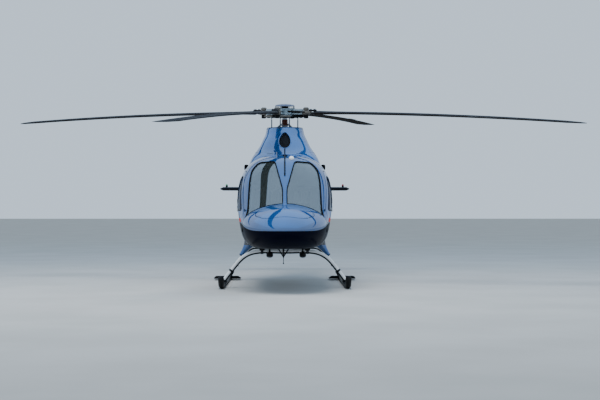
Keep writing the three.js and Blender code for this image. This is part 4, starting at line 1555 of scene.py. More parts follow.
@dataclass
class Cowl(Surface):
    """The engine cowling: arches with straight sides. u is y, and v the angle, with a side below each end.

    x = w * cos(v) ^ 0.75 and z = shoulder + h * sin(v) ^ 0.75.
    """

    # Columns: y, half width, top z
    rows: tuple = (
        (0.420, 0.340, 2.755), (0.900, 0.372, 2.745), (1.400, 0.362, 2.690), (1.900, 0.300, 2.560),
        (2.200, 0.225, 2.415), (2.390, 0.150, 2.262),
    )
    shoulder: float = 2.25
    foot: float = 2.02
    wall: float = 0.016
    apron: float = 0.55
    door: tuple = ((0.64, 2.30, 0.04), (0.64, 2.61, 0.04), (1.50, 2.57, 0.04), (1.50, 2.30, 0.04))
    # The exhaust's centre y and z, its axis and its radius
    exhaust: tuple = (1.98, 2.48)
    exhaust_way: tuple = (0.83, 0.56)
    exhaust_radius: float = 0.135
    scale: tuple = (1.0, 0.42)

    def __post_init__(self) -> None:
        """Fits the curve through the arches."""
        self._arches = spline(np.array(self.rows)[:, 0], np.array(self.rows)[:, 1:])

    def point(self, u: Array, v: Array) -> Array:
        """Points on the cowling.

        Args:
            u: places along the cowling.
            v: the second parameter.

        Returns:
            Points.
        """
        u, v = np.broadcast_arrays(np.asarray(u, float), np.asarray(v, float))
        half, top = np.moveaxis(self._arches(u), -1, 0)
        turn = np.clip(v, 0.0, math.pi)
        low = np.clip(np.maximum(-v, v - math.pi), 0.0, self.apron) / self.apron
        cosine, sine = np.cos(turn), np.maximum(np.sin(turn), 0.0)
        z = self.shoulder + (top - self.shoulder) * sine ** 0.75 - low * (self.shoulder - self.foot)
        return np.stack([half * np.sign(cosine) * np.abs(cosine) ** 0.75, u, z], -1)

    def centre(self, u: Array, v: Array) -> Array:
        """Points on the section's middle."""
        return np.stack([np.zeros_like(u), np.asarray(u) - 0.1, np.full_like(u, 2.2)], -1)

    def side(self, flat: Array) -> Array:
        """An outline of y and z on the left side.

        Args:
            flat: rows of y and z.

        Returns:
            Rows of both parameters.
        """
        top = self._arches(flat[:, 0])[:, 1]
        share = np.clip((flat[:, 1] - self.shoulder) / (top - self.shoulder), 0.0, 1.0)
        return np.stack([flat[:, 0], np.arcsin(share ** (4.0 / 3.0))], 1)

    def port(self, radius: float) -> Array:
        """Where a cylinder round the exhaust's axis leaves the cowling, by halving along its lines.

        Args:
            radius: the cylinder's radius.

        Returns:
            Rows of both parameters.
        """
        angle = circle(56)
        way = unit(np.array(self.exhaust_way))
        x = radius * np.cos(angle)
        start = np.array(self.exhaust) + radius * np.sin(angle)[:, None] * np.array([-way[1], way[0]])
        low, high = np.full(len(x), -0.35), np.full(len(x), 0.5)
        for _ in range(36):
            middle = (low + high) / 2.0
            y, z = (start + way * middle[:, None]).T
            half, top = self._arches(y).T
            rise = np.maximum(z - self.shoulder, 0.0) / (top - self.shoulder)
            within = np.abs(x / half) ** (8 / 3) + rise ** (8 / 3) < 1
            low, high = np.where(within, middle, low), np.where(within, high, middle)
        y = (start + way * low[:, None])[:, 0]
        half = self._arches(y)[:, 0]
        across = np.arccos(np.clip(np.abs(x) / half, 0.0, 1.0) ** (4.0 / 3.0))
        return np.stack([y, np.where(x < 0, math.pi - across, across)], 1)


@dataclass
class UpperWorks:
    """The gearbox fairing with its inlet, the engine cowling with its doors, and the exhaust."""

    pylon: Pylon
    cowl: Cowl
    gap: float = 0.010
    # Columns: how much shorter the radius is than the pipe's, height
    pipe_wall: tuple = (
        (0.004, -0.12), (0.004, 0.10), (0.003, 0.22), (0.002, 0.245), (0.0, 0.25), (0.0, 0.244),
        (0.0015, 0.20), (0.002, -0.12),
    )
    pipe_lining: tuple = ((0.005, -0.12), (0.005, 0.243), (0.007, 0.243), (0.007, -0.12))
    # Columns: radius, height
    pipe_cone: tuple = ((0, -0.10), (0.07, -0.10), (0.07, -0.02), (0.03, 0.05), (0, 0.07))
    # Columns: share of the rear rim's size, distance behind it
    cowl_end: tuple = ((1.0, 0.0), (0.93, 0.022), (0.75, 0.036), (0.4, 0.044), (0.0, 0.046))
    cowl_end_z: float = 2.09
    # Half the louvre's height, its length and how proud it stands
    louvre: tuple = (0.055, 0.026, 0.007)
    louvre_y: float = 0.86
    louvre_z: float = 2.40
    louvre_step: float = 0.045
    # Columns: y and z
    catches: tuple = ((0.78, 2.335), (1.36, 2.335))
    # The longest edge inside a panel
    pitch: float = 0.03
    # The inlet guard: radius of its wires, steps between them across and up, and their depths behind the skin
    wire: float = 0.0022
    wire_steps: tuple = (0.018, 0.021)
    wire_depths: tuple = (0.031, 0.028)
    # Levels of the screws that run along the fairing and of its rim, and the slots' level and ends
    screw_levels: tuple = (2.30, 2.74)
    rim_z: float = 2.764
    slot_z: float = 2.27
    slots: tuple = ((0.20, 0.31), (-0.31, -0.20))
    # Places round the fairing and along the cowling where screws run up
    fairing_screws: tuple = (0.62, 1.12, 1.985)
    cowl_screws: tuple = (0.44, 1.60, 1.66, 2.36)
    # The cowl doors' hinge line: first and last y, z at its start and its fall
    hinge: tuple = (0.66, 1.48, 2.62, 0.0465)

    def build(self, shop: Workshop) -> None:
        """Makes every piece.

        Args:
            shop: the workshop.
        """
        self._fairing(shop)
        self._screen(shop)
        self._cowling(shop)
        self._exhaust(shop)
        self._trim(shop)

    def _fairing(self, shop: Workshop) -> None:
        """The fairing's shell with the egg-shaped inlet and a rolled lip round it.

        Args:
            shop: the workshop.
        """
        shell = Builder()
        low, high = self.pylon.rows[0][0], self.pylon.rows[-1][0]
        inlet = self.pylon.on_front(self.pylon.egg())
        outer = rectangle(-2.0, low, 2.0, high)
        Panel(self.pylon, outer, [inlet], self.pylon.wall, pitch=self.pitch).add_to(shell)
        points, normals = self.pylon.line(self.pylon.on_front(self.pylon.egg(0.006)))
        shell.ribbon(points, normals, 0.009, 0.005)
        shop.piece(shell, "gearbox_fairing", ["blue_paint"], replaces=["pylon_fairing"])

    def _screen(self, shop: Workshop) -> None:
        """A guard behind the inlet: bars across and up, bent with the fairing, in front of a black plate that
        is painted shade inside the inlet.

        Args:
            shop: the workshop.
        """
        screen = Builder()
        # The black plate stands for the shade inside the inlet: painted shade
        plate = self.pylon.on_front(self.pylon.egg(-0.001))
        Panel(self.pylon, plate, [], 0.004, 0.040, self.pitch).add_to(screen)
        z, half, up, down = self.pylon.inlet
        bars = []
        for level in np.arange(z - down + 0.015, z + up, self.wire_steps[1]):
            share = (level - z) / (up if level > z else down)
            reach = half * math.sqrt(max(0.0, 1 - share ** 2)) * (1 - 0.22 * max(share, 0.0) ** 2) - 0.002
            if reach > 0.01:
                bars.append((np.linspace(-reach, reach, 15), np.full(15, level), self.wire_depths[1]))
        for x in np.arange(-0.09, 0.091, self.wire_steps[0]):
            share = min(1.0, abs(x) / half)
            tall = math.sqrt(max(0.0, 1 - share ** 2))
            level = np.linspace(z - down * tall + 0.004, z + up * tall * (0.93 - 0.2 * share), 15)
            bars.append((np.full(15, x if x else 1e-4), level, self.wire_depths[0]))
        for across, level, depth in bars:
            points, normals = self.pylon.line(self.pylon.on_front(np.stack([across, level], 1)))
            screen.tube(points - normals * depth, self.wire, 6)
        shop.piece(screen, "inlet_guard", ["black_coating"], replaces=["inlet_screen"])

    def _cowling(self, shop: Workshop) -> None:
        """The cowling's shell, its rounded rear end and the two doors.

        Args:
            shop: the workshop.
        """
        shell = Builder()
        start, end, apron = self.cowl.rows[0][0] + HAIR, self.cowl.rows[-1][0], self.cowl.apron
        outer = rectangle(start, -apron, end, math.pi + apron)
        left = self.cowl.side(rounded(self.cowl.door, self.gap))
        right = left * np.array([1.0, -1.0]) + np.array([0.0, math.pi])
        port = self.cowl.port(self.cowl.exhaust_radius + 0.012)
        Panel(self.cowl, outer, [left, right, port], self.cowl.wall, pitch=self.pitch).add_to(shell)
        angle = np.linspace(-apron, math.pi + apron, 61)
        rim = self.cowl.point(np.full(61, end - 0.001), angle)
        middle = np.array([0.0, end, self.cowl_end_z])
        share, back = np.array(self.cowl_end).T[:, :, None, None]
        rings = middle + (rim - middle) * share
        inner = (rings - np.array([0.0, 0.02, 0.0]))[::-1]
        shell.sheet(np.concatenate([rings + back * np.array([0.0, 1.0, 0.0]), inner]), loop=True)
        shop.piece(shell, "engine_cowling_skin", ["blue_paint"], replaces=["engine_cowling"])
        for side in Side:
            door = Builder()
            outline = self.cowl.side(rounded(self.cowl.door))
            Panel(self.cowl, outline, [], self.cowl.wall, pitch=self.pitch).add_to(door)
            for number in range(9):
                self._louvre(door, self.louvre_y + number * self.louvre_step, self.louvre_z)
            for place in self.catches:
                door.studs(*self.cowl.line(self.cowl.side(np.array([place]))), 0.011, 0.004, 1)
            door.studs(*self.cowl.evenly(self.cowl.side(rounded(self.cowl.door, -0.018)), 0.06), slot=1)
            door.flip(side)
            name = f"cowl_door_{side.word}"
            shop.piece(door, f"cowl_door_skin_{side.word}", ["blue_paint", "fastener"], name, [name])

    def _louvre(self, builder: Builder, y: float, z: float) -> None:
        """One pressed louvre: an arch that swells to the rear as the sine of its run, and is open there.

        Args:
            builder: where it goes.
            y: its front edge.
            z: the height of its middle.
        """
        half, length, height = self.louvre
        rise = np.linspace(-half, half, 13)
        run = np.linspace(0.0, length, 5)
        points, normals = self.cowl.line(self.cowl.side(np.stack([np.full(13, y), z + rise], 1)))
        swell = np.sqrt(np.maximum(0.0, 1 - (rise / half) ** 4))
        proud = height * swell[None] * np.sin(run / length * math.pi / 2)[:, None] ** 0.8
        top = points[None] + normals[None] * proud[..., None] + np.array([0.0, 1.0, 0.0]) * run[:, None, None]
        under = top - normals[None] * 0.003
        builder.sheet(np.concatenate([top, under[::-1]]), loop=True)

    def _exhaust(self, shop: Workshop) -> None:
        """The exhaust: a pipe with a rolled lip, a sooty lining, and a cone on three struts inside.

        Args:
            shop: the workshop.
        """
        pipe = Builder()
        radius = self.cowl.exhaust_radius
        at = (0.0, *self.cowl.exhaust)
        axis = (0.0, *self.cowl.exhaust_way)
        for profile, slot in ((self.pipe_wall, 0), (self.pipe_lining, 1)):
            pipe.turned([(radius - short, z) for short, z in profile], at, axis, 56, slot)
        pipe.turned(self.pipe_cone, at, axis, 40, 1)
        for turn in range(3):
            way = about(axis, turn * 120.0) @ np.array([1.0, 0.0, 0.0])
            start, end = np.array(at) + way * 0.06, np.array(at) + way * (radius - 0.004)
            pipe.tube(np.linspace(start, end, 4) - 0.06 * np.array(axis), 0.008, 10, 1, 0.6)
        shop.piece(pipe, "exhaust_pipe", ["bare_steel", "soot"], replaces=["exhaust"])

    def _trim(self, shop: Workshop) -> None:
        """The fairing's black top rim, two slots on its front, the cowl doors' hinges and rows of screws.

        Args:
            shop: the workshop.
        """
        trim = Builder()
        around = np.linspace(-1.96, 1.96, 120)
        rim = self.pylon.line(np.stack([around, np.full(120, self.rim_z)], 1))
        trim.ribbon(*rim, 0.006, 0.004, loop=False)
        for ends in self.slots:
            flat = self.pylon.on_front(np.stack([np.linspace(*ends, 12), np.full(12, self.slot_z)], 1))
            trim.ribbon(*self.pylon.line(flat), 0.007, 0.003, loop=False)
        start, end, top, fall = self.hinge
        y = np.linspace(start, end, 24)
        flat = self.cowl.side(np.stack([y, top - fall * (y - start + 0.02)], 1))
        points, normals = self.cowl.line(flat)
        for side in Side:
            trim.tube((points - normals * 0.004) * np.array([side.value, 1.0, 1.0]), 0.006, 10)
        shop.piece(trim, "upper_trim", ["rubber"])
        heads = Builder()
        around = np.linspace(0.08, 1.96, 60)
        for level in self.screw_levels:
            heads.studs(*self.pylon.line(np.stack([around, np.full(60, level)], 1)))
        rise = np.linspace(2.26, 2.74, 11)
        for place in self.fairing_screws:
            heads.studs(*self.pylon.line(np.stack([np.full(11, place), rise], 1)))
        angle = np.linspace(-0.1, math.pi / 2 - 0.02, 16)
        for place in self.cowl_screws:
            heads.studs(*self.cowl.line(np.stack([np.full(16, place), angle], 1)))
        heads.mirror()
        shop.piece(heads, "upper_fasteners", ["fastener"])


def airfoil(count: int = 33) -> Array:
    """A closed wing section, from its trailing edge round the nose and back.

    The half thickness is 5 t (0.2969 sqrt(c) - 0.126 c - 0.3516 c^2 + 0.2843 c^3 - 0.1015 c^4) with t = 1.

    Args:
        count: steps on each half.

    Returns:
        Rows of chord share and half thickness.
    """
    angle = circle(2 * count)
    c = (1.0 + np.cos(angle)) / 2.0
    half = 5.0 * (0.2969 * np.sqrt(c) - 0.126 * c - 0.3516 * c ** 2 + 0.2843 * c ** 3 - 0.1015 * c ** 4)
    return np.stack([c, np.sign(np.sin(angle)) * (half + 0.012)], 1)


def wing(rows: Sequence, across: Sequence[float], steps: int = 6, tip: int = 5,
         way: Sequence[float] = (0.0, 1.0, 0.0)) -> Array:
    """A wing's grid: sections carried along its span, with a rounded tip beyond the last row.

    Args:
        rows: rows of leading edge x, y, z, chord and thickness.
        across: the direction of the thickness.
        steps: sections between two rows.
        tip: sections of the rounded tip.
        way: the direction from the leading to the trailing edge.

    Returns:
        Points, sections by outline.
    """
    rows = np.array(rows, float)
    where = np.linspace(0, len(rows) - 1, (len(rows) - 1) * steps + 1)
    table = np.stack([np.interp(where, np.arange(len(rows)), column) for column in rows.T], 1)
    turn = np.linspace(0.0, math.pi / 2, tip + 1)[1:]
    last, before = rows[-1], rows[-2]
    out = unit(last[:3] - before[:3]) * last[4] * 0.5
    ends = np.repeat(last[None], tip, 0)
    shrink = np.round(np.cos(turn), 9)
    ends[:, :3] += np.sin(turn)[:, None] * out
    ends[:, :3] += (last[3] * (1 - shrink) * 0.25)[:, None] * np.array(way)
    ends[:, 3] *= 1 - (1 - shrink) * 0.5
    ends[:, 4] *= shrink
    table = np.concatenate([table, ends])
    outline = airfoil()
    chord = table[:, 3, None, None] * outline[None, :, :1] * np.array(way)
    thick = table[:, 4, None, None] * outline[None, :, 1:] * np.array(across, float)
    return table[:, None, :3] + chord + thick


@dataclass
class Tail:
    """The boom, the fins, the stabilizers and the tail rotor."""

    # Columns: y, half width, top z, bottom z
    boom: tuple = (
        (2.400, 0.300, 2.140, 1.450), (3.100, 0.258, 2.128, 1.545), (4.300, 0.208, 2.115, 1.650),
        (5.400, 0.170, 2.105, 1.735), (6.300, 0.138, 2.098, 1.800),
    )
    # Columns: leading edge x, y, z, chord, thickness
    upper_fin: tuple = (
        (0, 6.02, 1.96, 0.90, 0.13), (0, 6.12, 2.12, 0.84, 0.12), (0, 6.78, 3.04, 0.48, 0.07),
        (0, 6.86, 3.10, 0.38, 0.04),
    )
    lower_fin: tuple = (
        (0, 6.02, 1.955, 0.90, 0.12), (0, 6.20, 1.70, 0.70, 0.10), (0, 6.56, 1.06, 0.44, 0.06),
        (0, 6.64, 0.99, 0.33, 0.03),
    )
    stabilizer: tuple = (
        (0.08, 4.05, 1.727, 0.50, 0.082), (1.29, 4.07, 1.727, 0.47, 0.074),
        (1.345, 4.13, 1.727, 0.34, 0.027),
    )
    cuff: tuple = ((0.19, 4.02, 1.727, 0.56, 0.10), (0.245, 4.04, 1.727, 0.52, 0.075))
    rotor: tuple = (0.33, 6.51687, 2.02)
    # Columns: radius, share of the chord, thickness
    blade: tuple = ((0.15, 0.45, 0.026), (0.27, 1.0, 0.024), (0.91, 1.0, 0.018), (0.955, 0.8, 0.012))
    blade_chord: float = 0.20
    # Stations of the riveted frames and of the rings of screws
    frames: tuple = (2.46, 3.62, 5.02)
    screw_rings: tuple = (2.425, 2.50, 3.58, 3.66, 4.98, 5.06, 6.27)
    # The drive shaft's cover: first and last y, half width, height
    cover: tuple = (2.50, 5.95, 0.075, 0.062)
    # Columns: radius, height
    pod: tuple = (
        (0, -0.33), (0.07, -0.31), (0.12, -0.22), (0.128, 0.0), (0.11, 0.16), (0.04, 0.27), (0, 0.285),
    )
    pod_at: tuple = (0, 6.48, 2.01)
    tail_lamp: tuple = ((0, 0), (0.022, 0), (0.022, 0.02), (0.016, 0.034), (0, 0.04))
    tail_lamp_at: tuple = (0, 6.752, 2.01)
    lamp_base: tuple = ((0, 0), (0.024, 0), (0.024, 0.05), (0.02, 0.06), (0, 0.06))
    lamp_lens: tuple = ((0, 0.058), (0.021, 0.058), (0.02, 0.072), (0.012, 0.086), (0, 0.090))
    lamp_at: tuple = (1.22, 4.30, 1.741)
    rotor_nut: tuple = ((0, -0.04), (0.030, -0.04), (0.030, 0.03), (0.02, 0.038), (0, 0.038))
    pitch_plate: tuple = ((0.036, -0.105), (0.085, -0.10), (0.09, -0.09), (0.085, -0.08), (0.036, -0.078))
    # Columns: x, y, z
    guard: tuple = ((0, 6.56, 1.12), (0, 6.70, 0.90), (0, 7.00, 0.76), (0, 7.33, 0.79))

    def build(self, shop: Workshop) -> None:
        """Makes every piece.

        Args:
            shop: the workshop.
        """
        self._boom(shop)
        self._screws(shop)
        self._fins(shop)
        for side in Side:
            self._stabilizer(shop, side)
        self._tail_rotor(shop)

    def _ring(self, y: Array) -> Array:
        """The boom's rings at y: superellipses whose two halves are alike.

        Args:
            y: where the rings are.

        Returns:
            A ring of points for each y.
        """
        table = np.array(self.boom)
        half, top, bottom = spline(table[:, 0], table[:, 1:])(y).T[..., None]
        cosine, sine = squared(circle(64), 0.87)
        x = half * cosine
        z = (top + bottom) / 2 + (top - bottom) / 2 * sine
        return np.stack([x, np.broadcast_to(y[:, None], x.shape), z], -1)

    def _boom(self, shop: Workshop) -> None:
        """The boom, with riveted frames and the drive shaft's cover along its top.

        Args:
            shop: the workshop.
        """
        boom = Builder()
        y = np.linspace(self.boom[0][0] + HAIR, self.boom[-1][0], 66)
        boom.sheet(self._ring(y), wrap=True, ends=True)
        for y in self.frames:
            rings = self._ring(y + np.array([-0.03, -0.026, 0.026, 0.03]))
            out = unit(self._ring(np.full(4, y)) - np.array([0, y, 1.9]))
            boom.sheet(rings + 0.003 * out * np.array([0, 1, 1, 0])[:, None, None], wrap=True)
        start, end, half, tall = self.cover
        y = np.linspace(start, end, 60)
        table = np.array(self.boom)
        top = spline(table[:, 0], table[:, 2:3])(y)
        turn = np.linspace(-0.2, math.pi + 0.2, 21)
        swell = np.minimum(1.0, np.minimum(y - start + 0.01, end - y + 0.01) / 0.12)[:, None] ** 0.5
        x = half * swell * np.cos(turn)
        z = top - 0.012 + tall * swell * np.sin(turn)
        boom.sheet(np.stack([x, np.broadcast_to(y[:, None], x.shape), z], -1), wrap=True, ends=True)
        shop.piece(boom, "tail_boom_skin", ["blue_paint"], replaces=["tail_boom"])

    def _screws(self, shop: Workshop) -> None:
        """The boom's screw heads: rings of them, and a row on each side of the shaft's cover.

        Args:
            shop: the workshop.
        """
        heads = Builder()
        for y in self.screw_rings:
            ring = self._ring(np.array([y]))[0][::2]
            heads.studs(ring, ring - np.array([0, y, ring[:, 2].mean()]), 0.004, 0.0015)
        table = np.array(self.boom)
        for y in np.arange(2.58, 5.9, 0.11):
            level = np.interp(y, table[:, 0], table[:, 2])
            for x in (-0.078, 0.078):
                heads.studs(np.array([[x, y, level + 0.002]]), np.array([[x * 3, 0, 1.0]]), 0.005, 0.002)
        shop.piece(heads, "boom_fasteners", ["fastener"])

    def _fins(self, shop: Workshop) -> None:
        """Both fins, the gearbox pod between them, the tail guard and the tail lamp.

        Args:
            shop: the workshop.
        """
        fin = Builder()
        fin.sheet(wing(self.upper_fin, (1, 0, 0), 8), wrap=True, ends=True)
        profile = spline(np.arange(7.0), np.array(self.pod))(np.linspace(0, 6, 37)).clip([0, -1], [1, 1])
        fin.turned(profile, self.pod_at, (0, 1, 0), 40)
        fin.turned(self.tail_lamp, self.tail_lamp_at, (0, 1, 0), 20, 1)
        shop.piece(fin, "upper_fin_skin", ["blue_paint", "lamp_red"], replaces=["upper_fin"])
        low = Builder()
        low.sheet(wing(self.lower_fin, (1, 0, 0), 8), wrap=True, ends=True)
        low.tube(curve(self.guard, 36), np.r_[np.full(35, 0.016), 0.010], 16, 1)
        shop.piece(low, "lower_fin_skin", ["blue_paint", "bare_steel"], replaces=["lower_fin"])

    def _stabilizer(self, shop: Workshop, side: Side) -> None:
        """One stabilizer: a wing with a root cuff, and a lamp near its end.

        Args:
            shop: the workshop.
            side: which side.
        """
        builder = Builder()
        builder.sheet(wing(self.stabilizer, (0, 0, 1), 10), wrap=True, ends=True)
        builder.sheet(wing(self.cuff, (0, 0, 1), 4, 3), wrap=True, ends=True)
        builder.turned(self.lamp_base, self.lamp_at, sides=24)
        builder.turned(self.lamp_lens, self.lamp_at, sides=24, slot=1)
        builder.flip(side)
        lens = "lamp_red" if side is Side.LEFT else "lamp_green"
        shop.piece(builder, f"stabilizer_wing_{side.word}", ["dark_paint", lens],
                   replaces=[f"stabilizer_{side.word}"])

    def _tail_rotor(self, shop: Workshop) -> None:
        """The tail rotor: shaft, hub, yoke, two blades, pitch links and a pitch plate.

        Args:
            shop: the workshop.
        """
        x, y, z = self.rotor
        shaft = (1, 0, 0)
        one = Builder()
        rows = [(x, -0.5 * self.blade_chord * c, r, self.blade_chord * c, t) for r, c, t in self.blade]
        one.sheet(wing(rows, shaft, 8), wrap=True, ends=True)
        one.block((x - 0.020, -0.040, 0.05), (x + 0.020, 0.040, 0.20), 0.006, 1)
        one.rod(0.011, -0.03, 0.03, (x, 0.0, 0.165), shaft, slot=1)
        one.tube(np.array([(x - 0.09, 0.075, 0.02), (x - 0.03, 0.075, 0.07)]), 0.007, 10, 1)
        one.block((x - 0.030, 0.03, 0.055), (x - 0.006, 0.085, 0.085), 0.004, 1)
        local = Builder()
        for turn in (0.0, 180.0):
            local.merge(one, about(shaft, turn))
        local.block((x - 0.04, -0.052, -0.052), (x + 0.04, 0.052, 0.052), 0.012, 1)
        local.turned(self.rotor_nut, (x, 0, 0), shaft, slot=1)
        local.rod(0.034, 0.06, x, axis=shaft, sides=32, slot=1)
        local.turned(self.pitch_plate, (x, 0, 0), shaft, slot=1)
        rotor = Builder()
        rotor.merge(local, about(shaft, -90.0), (0.0, y, z))
        shop.piece(rotor, "tail_rotor_assembly", ["blade_coating", "cast_metal"], "tail_rotor",
                   ["tail_rotor"])


@dataclass
class MainRotor:
    """The main rotor in the hub's axes: hub, cap, four blades with grips, swashplate and pitch links."""

    first_blade: float = -19.3
    radius: float = 5.415
    droop: float = 0.195
    link_lead: float = 38.6
    link_reach: float = 0.250
    link_foot: float = -0.345
    link_top: float = -0.066
    # Columns: radius, chord, thickness, sweep
    blade: tuple = (
        (0.56, 0.15, 0.070, 0.0), (0.78, 0.19, 0.060, 0.0), (1.15, 0.34, 0.052, 0.0),
        (2.60, 0.34, 0.050, 0.0), (4.00, 0.34, 0.046, 0.0), (5.05, 0.34, 0.040, 0.0),
        (5.30, 0.26, 0.026, 0.04), (5.405, 0.16, 0.012, 0.09),
    )
    # Columns: radius, height. The parts of the grip, about its own upright axis
    grip_at: tuple = (0.404, 0.0, 0.0)
    bearing: tuple = (
        (0, -0.105), (0.028, -0.105), (0.034, -0.100), (0.046, -0.090), (0.046, -0.074), (0.041, -0.070),
        (0.041, -0.064), (0.046, -0.060), (0.046, -0.050), (0.034, -0.040), (0, -0.040),
    )
    housing: tuple = (
        (0, -0.041), (0.034, -0.040), (0.034, 0.040), (0.054, 0.046), (0.054, 0.058), (0.050, 0.061),
        (0.050, 0.067), (0.054, 0.070), (0.054, 0.080), (0.044, 0.086), (0.032, 0.098), (0.014, 0.098),
        (0.012, 0.094), (0, 0.094),
    )
    clamp_bolt: tuple = (
        (0, -0.034), (0.009, -0.034), (0.009, 0.050), (0.014, 0.050), (0.014, 0.060), (0.006, 0.063),
        (0.006, 0.070), (0, 0.070),
    )
    socket: tuple = ((0.010, -0.015), (0.022, -0.013), (0.024, 0.0), (0.022, 0.013), (0.010, 0.015))
    ball: tuple = ((0, -0.012), (0.010, -0.008), (0.012, 0.0), (0.010, 0.008), (0, 0.012))
    # Columns: x, y, radius. One half of outlines that are the same on both sides
    grip_plate: tuple = ((0.346, -0.048, 0.01), (0.375, -0.062, 0.02), (0.470, -0.062, 0.01))
    clamp: tuple = ((0.462, -0.050, 0.012), (0.600, -0.046, 0.03))
    arm: tuple = ((0.060, -0.075, 0.02), (0.150, -0.058, 0.04), (0.240, -0.046, 0.05), (0.345, -0.058, 0.02))
    horn: tuple = ((0.130, -0.030, 0.01), (0.250, -0.018, 0.015), (0.264, 0.0, 0.012))
    # Columns: x, y, radius
    lug: tuple = (
        (0.070, -0.020, 0.01), (0.070, -0.10, 0.03), (0.110, -0.150, 0.02), (0.165, -0.145, 0.02),
        (0.165, -0.020, 0.01),
    )
    # Columns: radius, height. The turned parts of the hub
    centre: tuple = (
        (0, -0.070), (0.120, -0.070), (0.140, -0.066), (0.150, -0.052), (0.165, -0.034), (0.165, -0.004),
        (0.158, 0.002), (0.158, 0.028), (0.165, 0.034), (0.165, 0.060), (0.190, 0.062), (0.196, 0.066),
        (0.194, 0.073), (0.060, 0.074), (0.054, 0.080), (0.052, 0.110), (0, 0.111),
    )
    bottle: tuple = (
        (0, 0), (0.024, 0), (0.031, 0.008), (0.031, 0.150), (0.025, 0.156), (0.025, 0.175), (0.031, 0.181),
        (0.031, 0.236), (0.022, 0.244), (0, 0.244),
    )
    arm_bolt: tuple = ((0, 0.05), (0.009, 0.05), (0.009, 0.066), (0.004, 0.069), (0, 0.069))
    arm_nut: tuple = ((0, -0.042), (0.007, -0.040), (0.007, -0.03), (0, -0.03))
    cap_bolt: tuple = (
        (0, 0.070), (0.011, 0.070), (0.011, 0.079), (0.006, 0.081), (0.006, 0.110), (0.003, 0.1118),
        (0, 0.1118),
    )
    cap_nut: tuple = ((0, 0.079), (0.0105, 0.079), (0.0105, 0.090), (0, 0.090))
    lower_ring: tuple = ((0, -0.098), (0.088, -0.098), (0.096, -0.090), (0.096, -0.069), (0, -0.069))
    upper_ring: tuple = ((0.053, 0.073), (0.064, 0.073), (0.064, 0.108), (0.053, 0.110))
    cap: tuple = (
        (0, 0.1125), (0.168, 0.1125), (0.176, 0.115), (0.1795, 0.120), (0.178, 0.126), (0.172, 0.130),
        (0.150, 0.1420), (0.120, 0.1490), (0.090, 0.1543), (0.050, 0.1585), (0.022, 0.1598),
        (0.020, 0.1594), (0, 0.1596),
    )
    # The dampers: both ends of one beside the first arm
    damper: tuple = ((0.128, -0.124, 0.020), (0.412, -0.098, 0.008))
    # Columns: radius, height. The mast and its boot
    shaft: tuple = (
        (0, -0.475), (0.048, -0.475), (0.048, -0.262), (0.056, -0.258), (0.058, -0.235), (0.052, -0.230),
        (0.045, -0.226), (0.045, -0.0705), (0, -0.0705),
    )
    boot_low: float = -0.226
    boot_high: float = -0.120
    # Columns: radius, height above the swashplate's middle
    swashplate: tuple = (
        (0.046, -0.022), (0.100, -0.022), (0.148, -0.018), (0.158, -0.006), (0.158, 0.006), (0.148, 0.018),
        (0.100, 0.020), (0.070, 0.030), (0.060, 0.060), (0.047, 0.064),
    )
    link: tuple = (
        (0, 0), (0.009, 0), (0.011, 0.035), (0.007, 0.045), (0.007, 0.075), (0.0105, 0.082),
        (0.0105, 0.2015), (0.007, 0.2085), (0.007, 0.2255), (0.009, 0.2335), (0.011, 0.2575),
        (0.008, 0.2635), (0, 0.2635),
    )
    link_nuts: tuple = (0.078, 0.2055)

    def build(self, shop: Workshop) -> None:
        """Makes every piece.

        Args:
            shop: the workshop.
        """
        slots = ["blade_coating", "blade_under", "edge_strip", "grip_metal", "black_coating", "fastener"]
        for number in range(4):
            arm = Builder()
            arm.merge(self._blade(), self._turned_to(number))
            shop.piece(arm, f"rotor_blade_{number + 1}", slots, "main_rotor", [f"main_blade_{number + 1}"],
                       rotor=True)
        self._hub(shop)
        self._cap(shop)
        self._mast(shop)

    def _turned_to(self, number: int, lead: float = 0.0) -> Array:
        """The turn that brings something from +x to one of the four blades, or some degrees before it."""
        return about((0, 0, 1), self.first_blade + lead + 90 * number)

    def _blade(self) -> Builder:
        """One blade along +x with its grip. Slots: upper and lower skin, edge strip, casting, clamp, bolts.

        Returns:
            The blade.
        """
        blade = Builder()
        table = np.array(self.blade)
        r = np.unique(np.concatenate([table[:, 0], np.linspace(0.56, 5.40, 60)]))
        chord, thick, sweep = (np.interp(r, table[:, 0], table[:, k]) for k in (1, 2, 3))
        rows = np.stack([r, chord / 2 - sweep, self._drop(r), chord, thick], 1)
        grid = wing(rows, (0, 0, 1), 1, 4, way=(0.0, -1.0, 0.0))
        columns = grid.shape[1]
        nose = columns // 2
        blade.sheet(grid[:, :nose - 3], slot=0)
        blade.sheet(grid[:, nose - 4:nose + 5], slot=2)
        blade.sheet(np.concatenate([grid[:, nose + 4:], grid[:, :1]], 1), slot=1)
        blade.add(grid[0], [list(range(columns))[::-1]], 0)
        blade.add(grid[-1], [list(range(columns))], 0)
        for start in (3.4, 3.62):
            rows = [(r, -0.168, self._drop(r), 0.05, 0.005) for r in (start, start + 0.18)]
            blade.sheet(wing(rows, (0, 0, 1), 2, 2, way=(0.0, -1.0, 0.0)), wrap=True, ends=True, slot=2)
        self._grip(blade)
        return blade

    def _drop(self, r: Union[float, Array]) -> Union[float, Array]:
        """The blade's height at radius r."""
        return -self.droop * (r / self.radius) ** 2

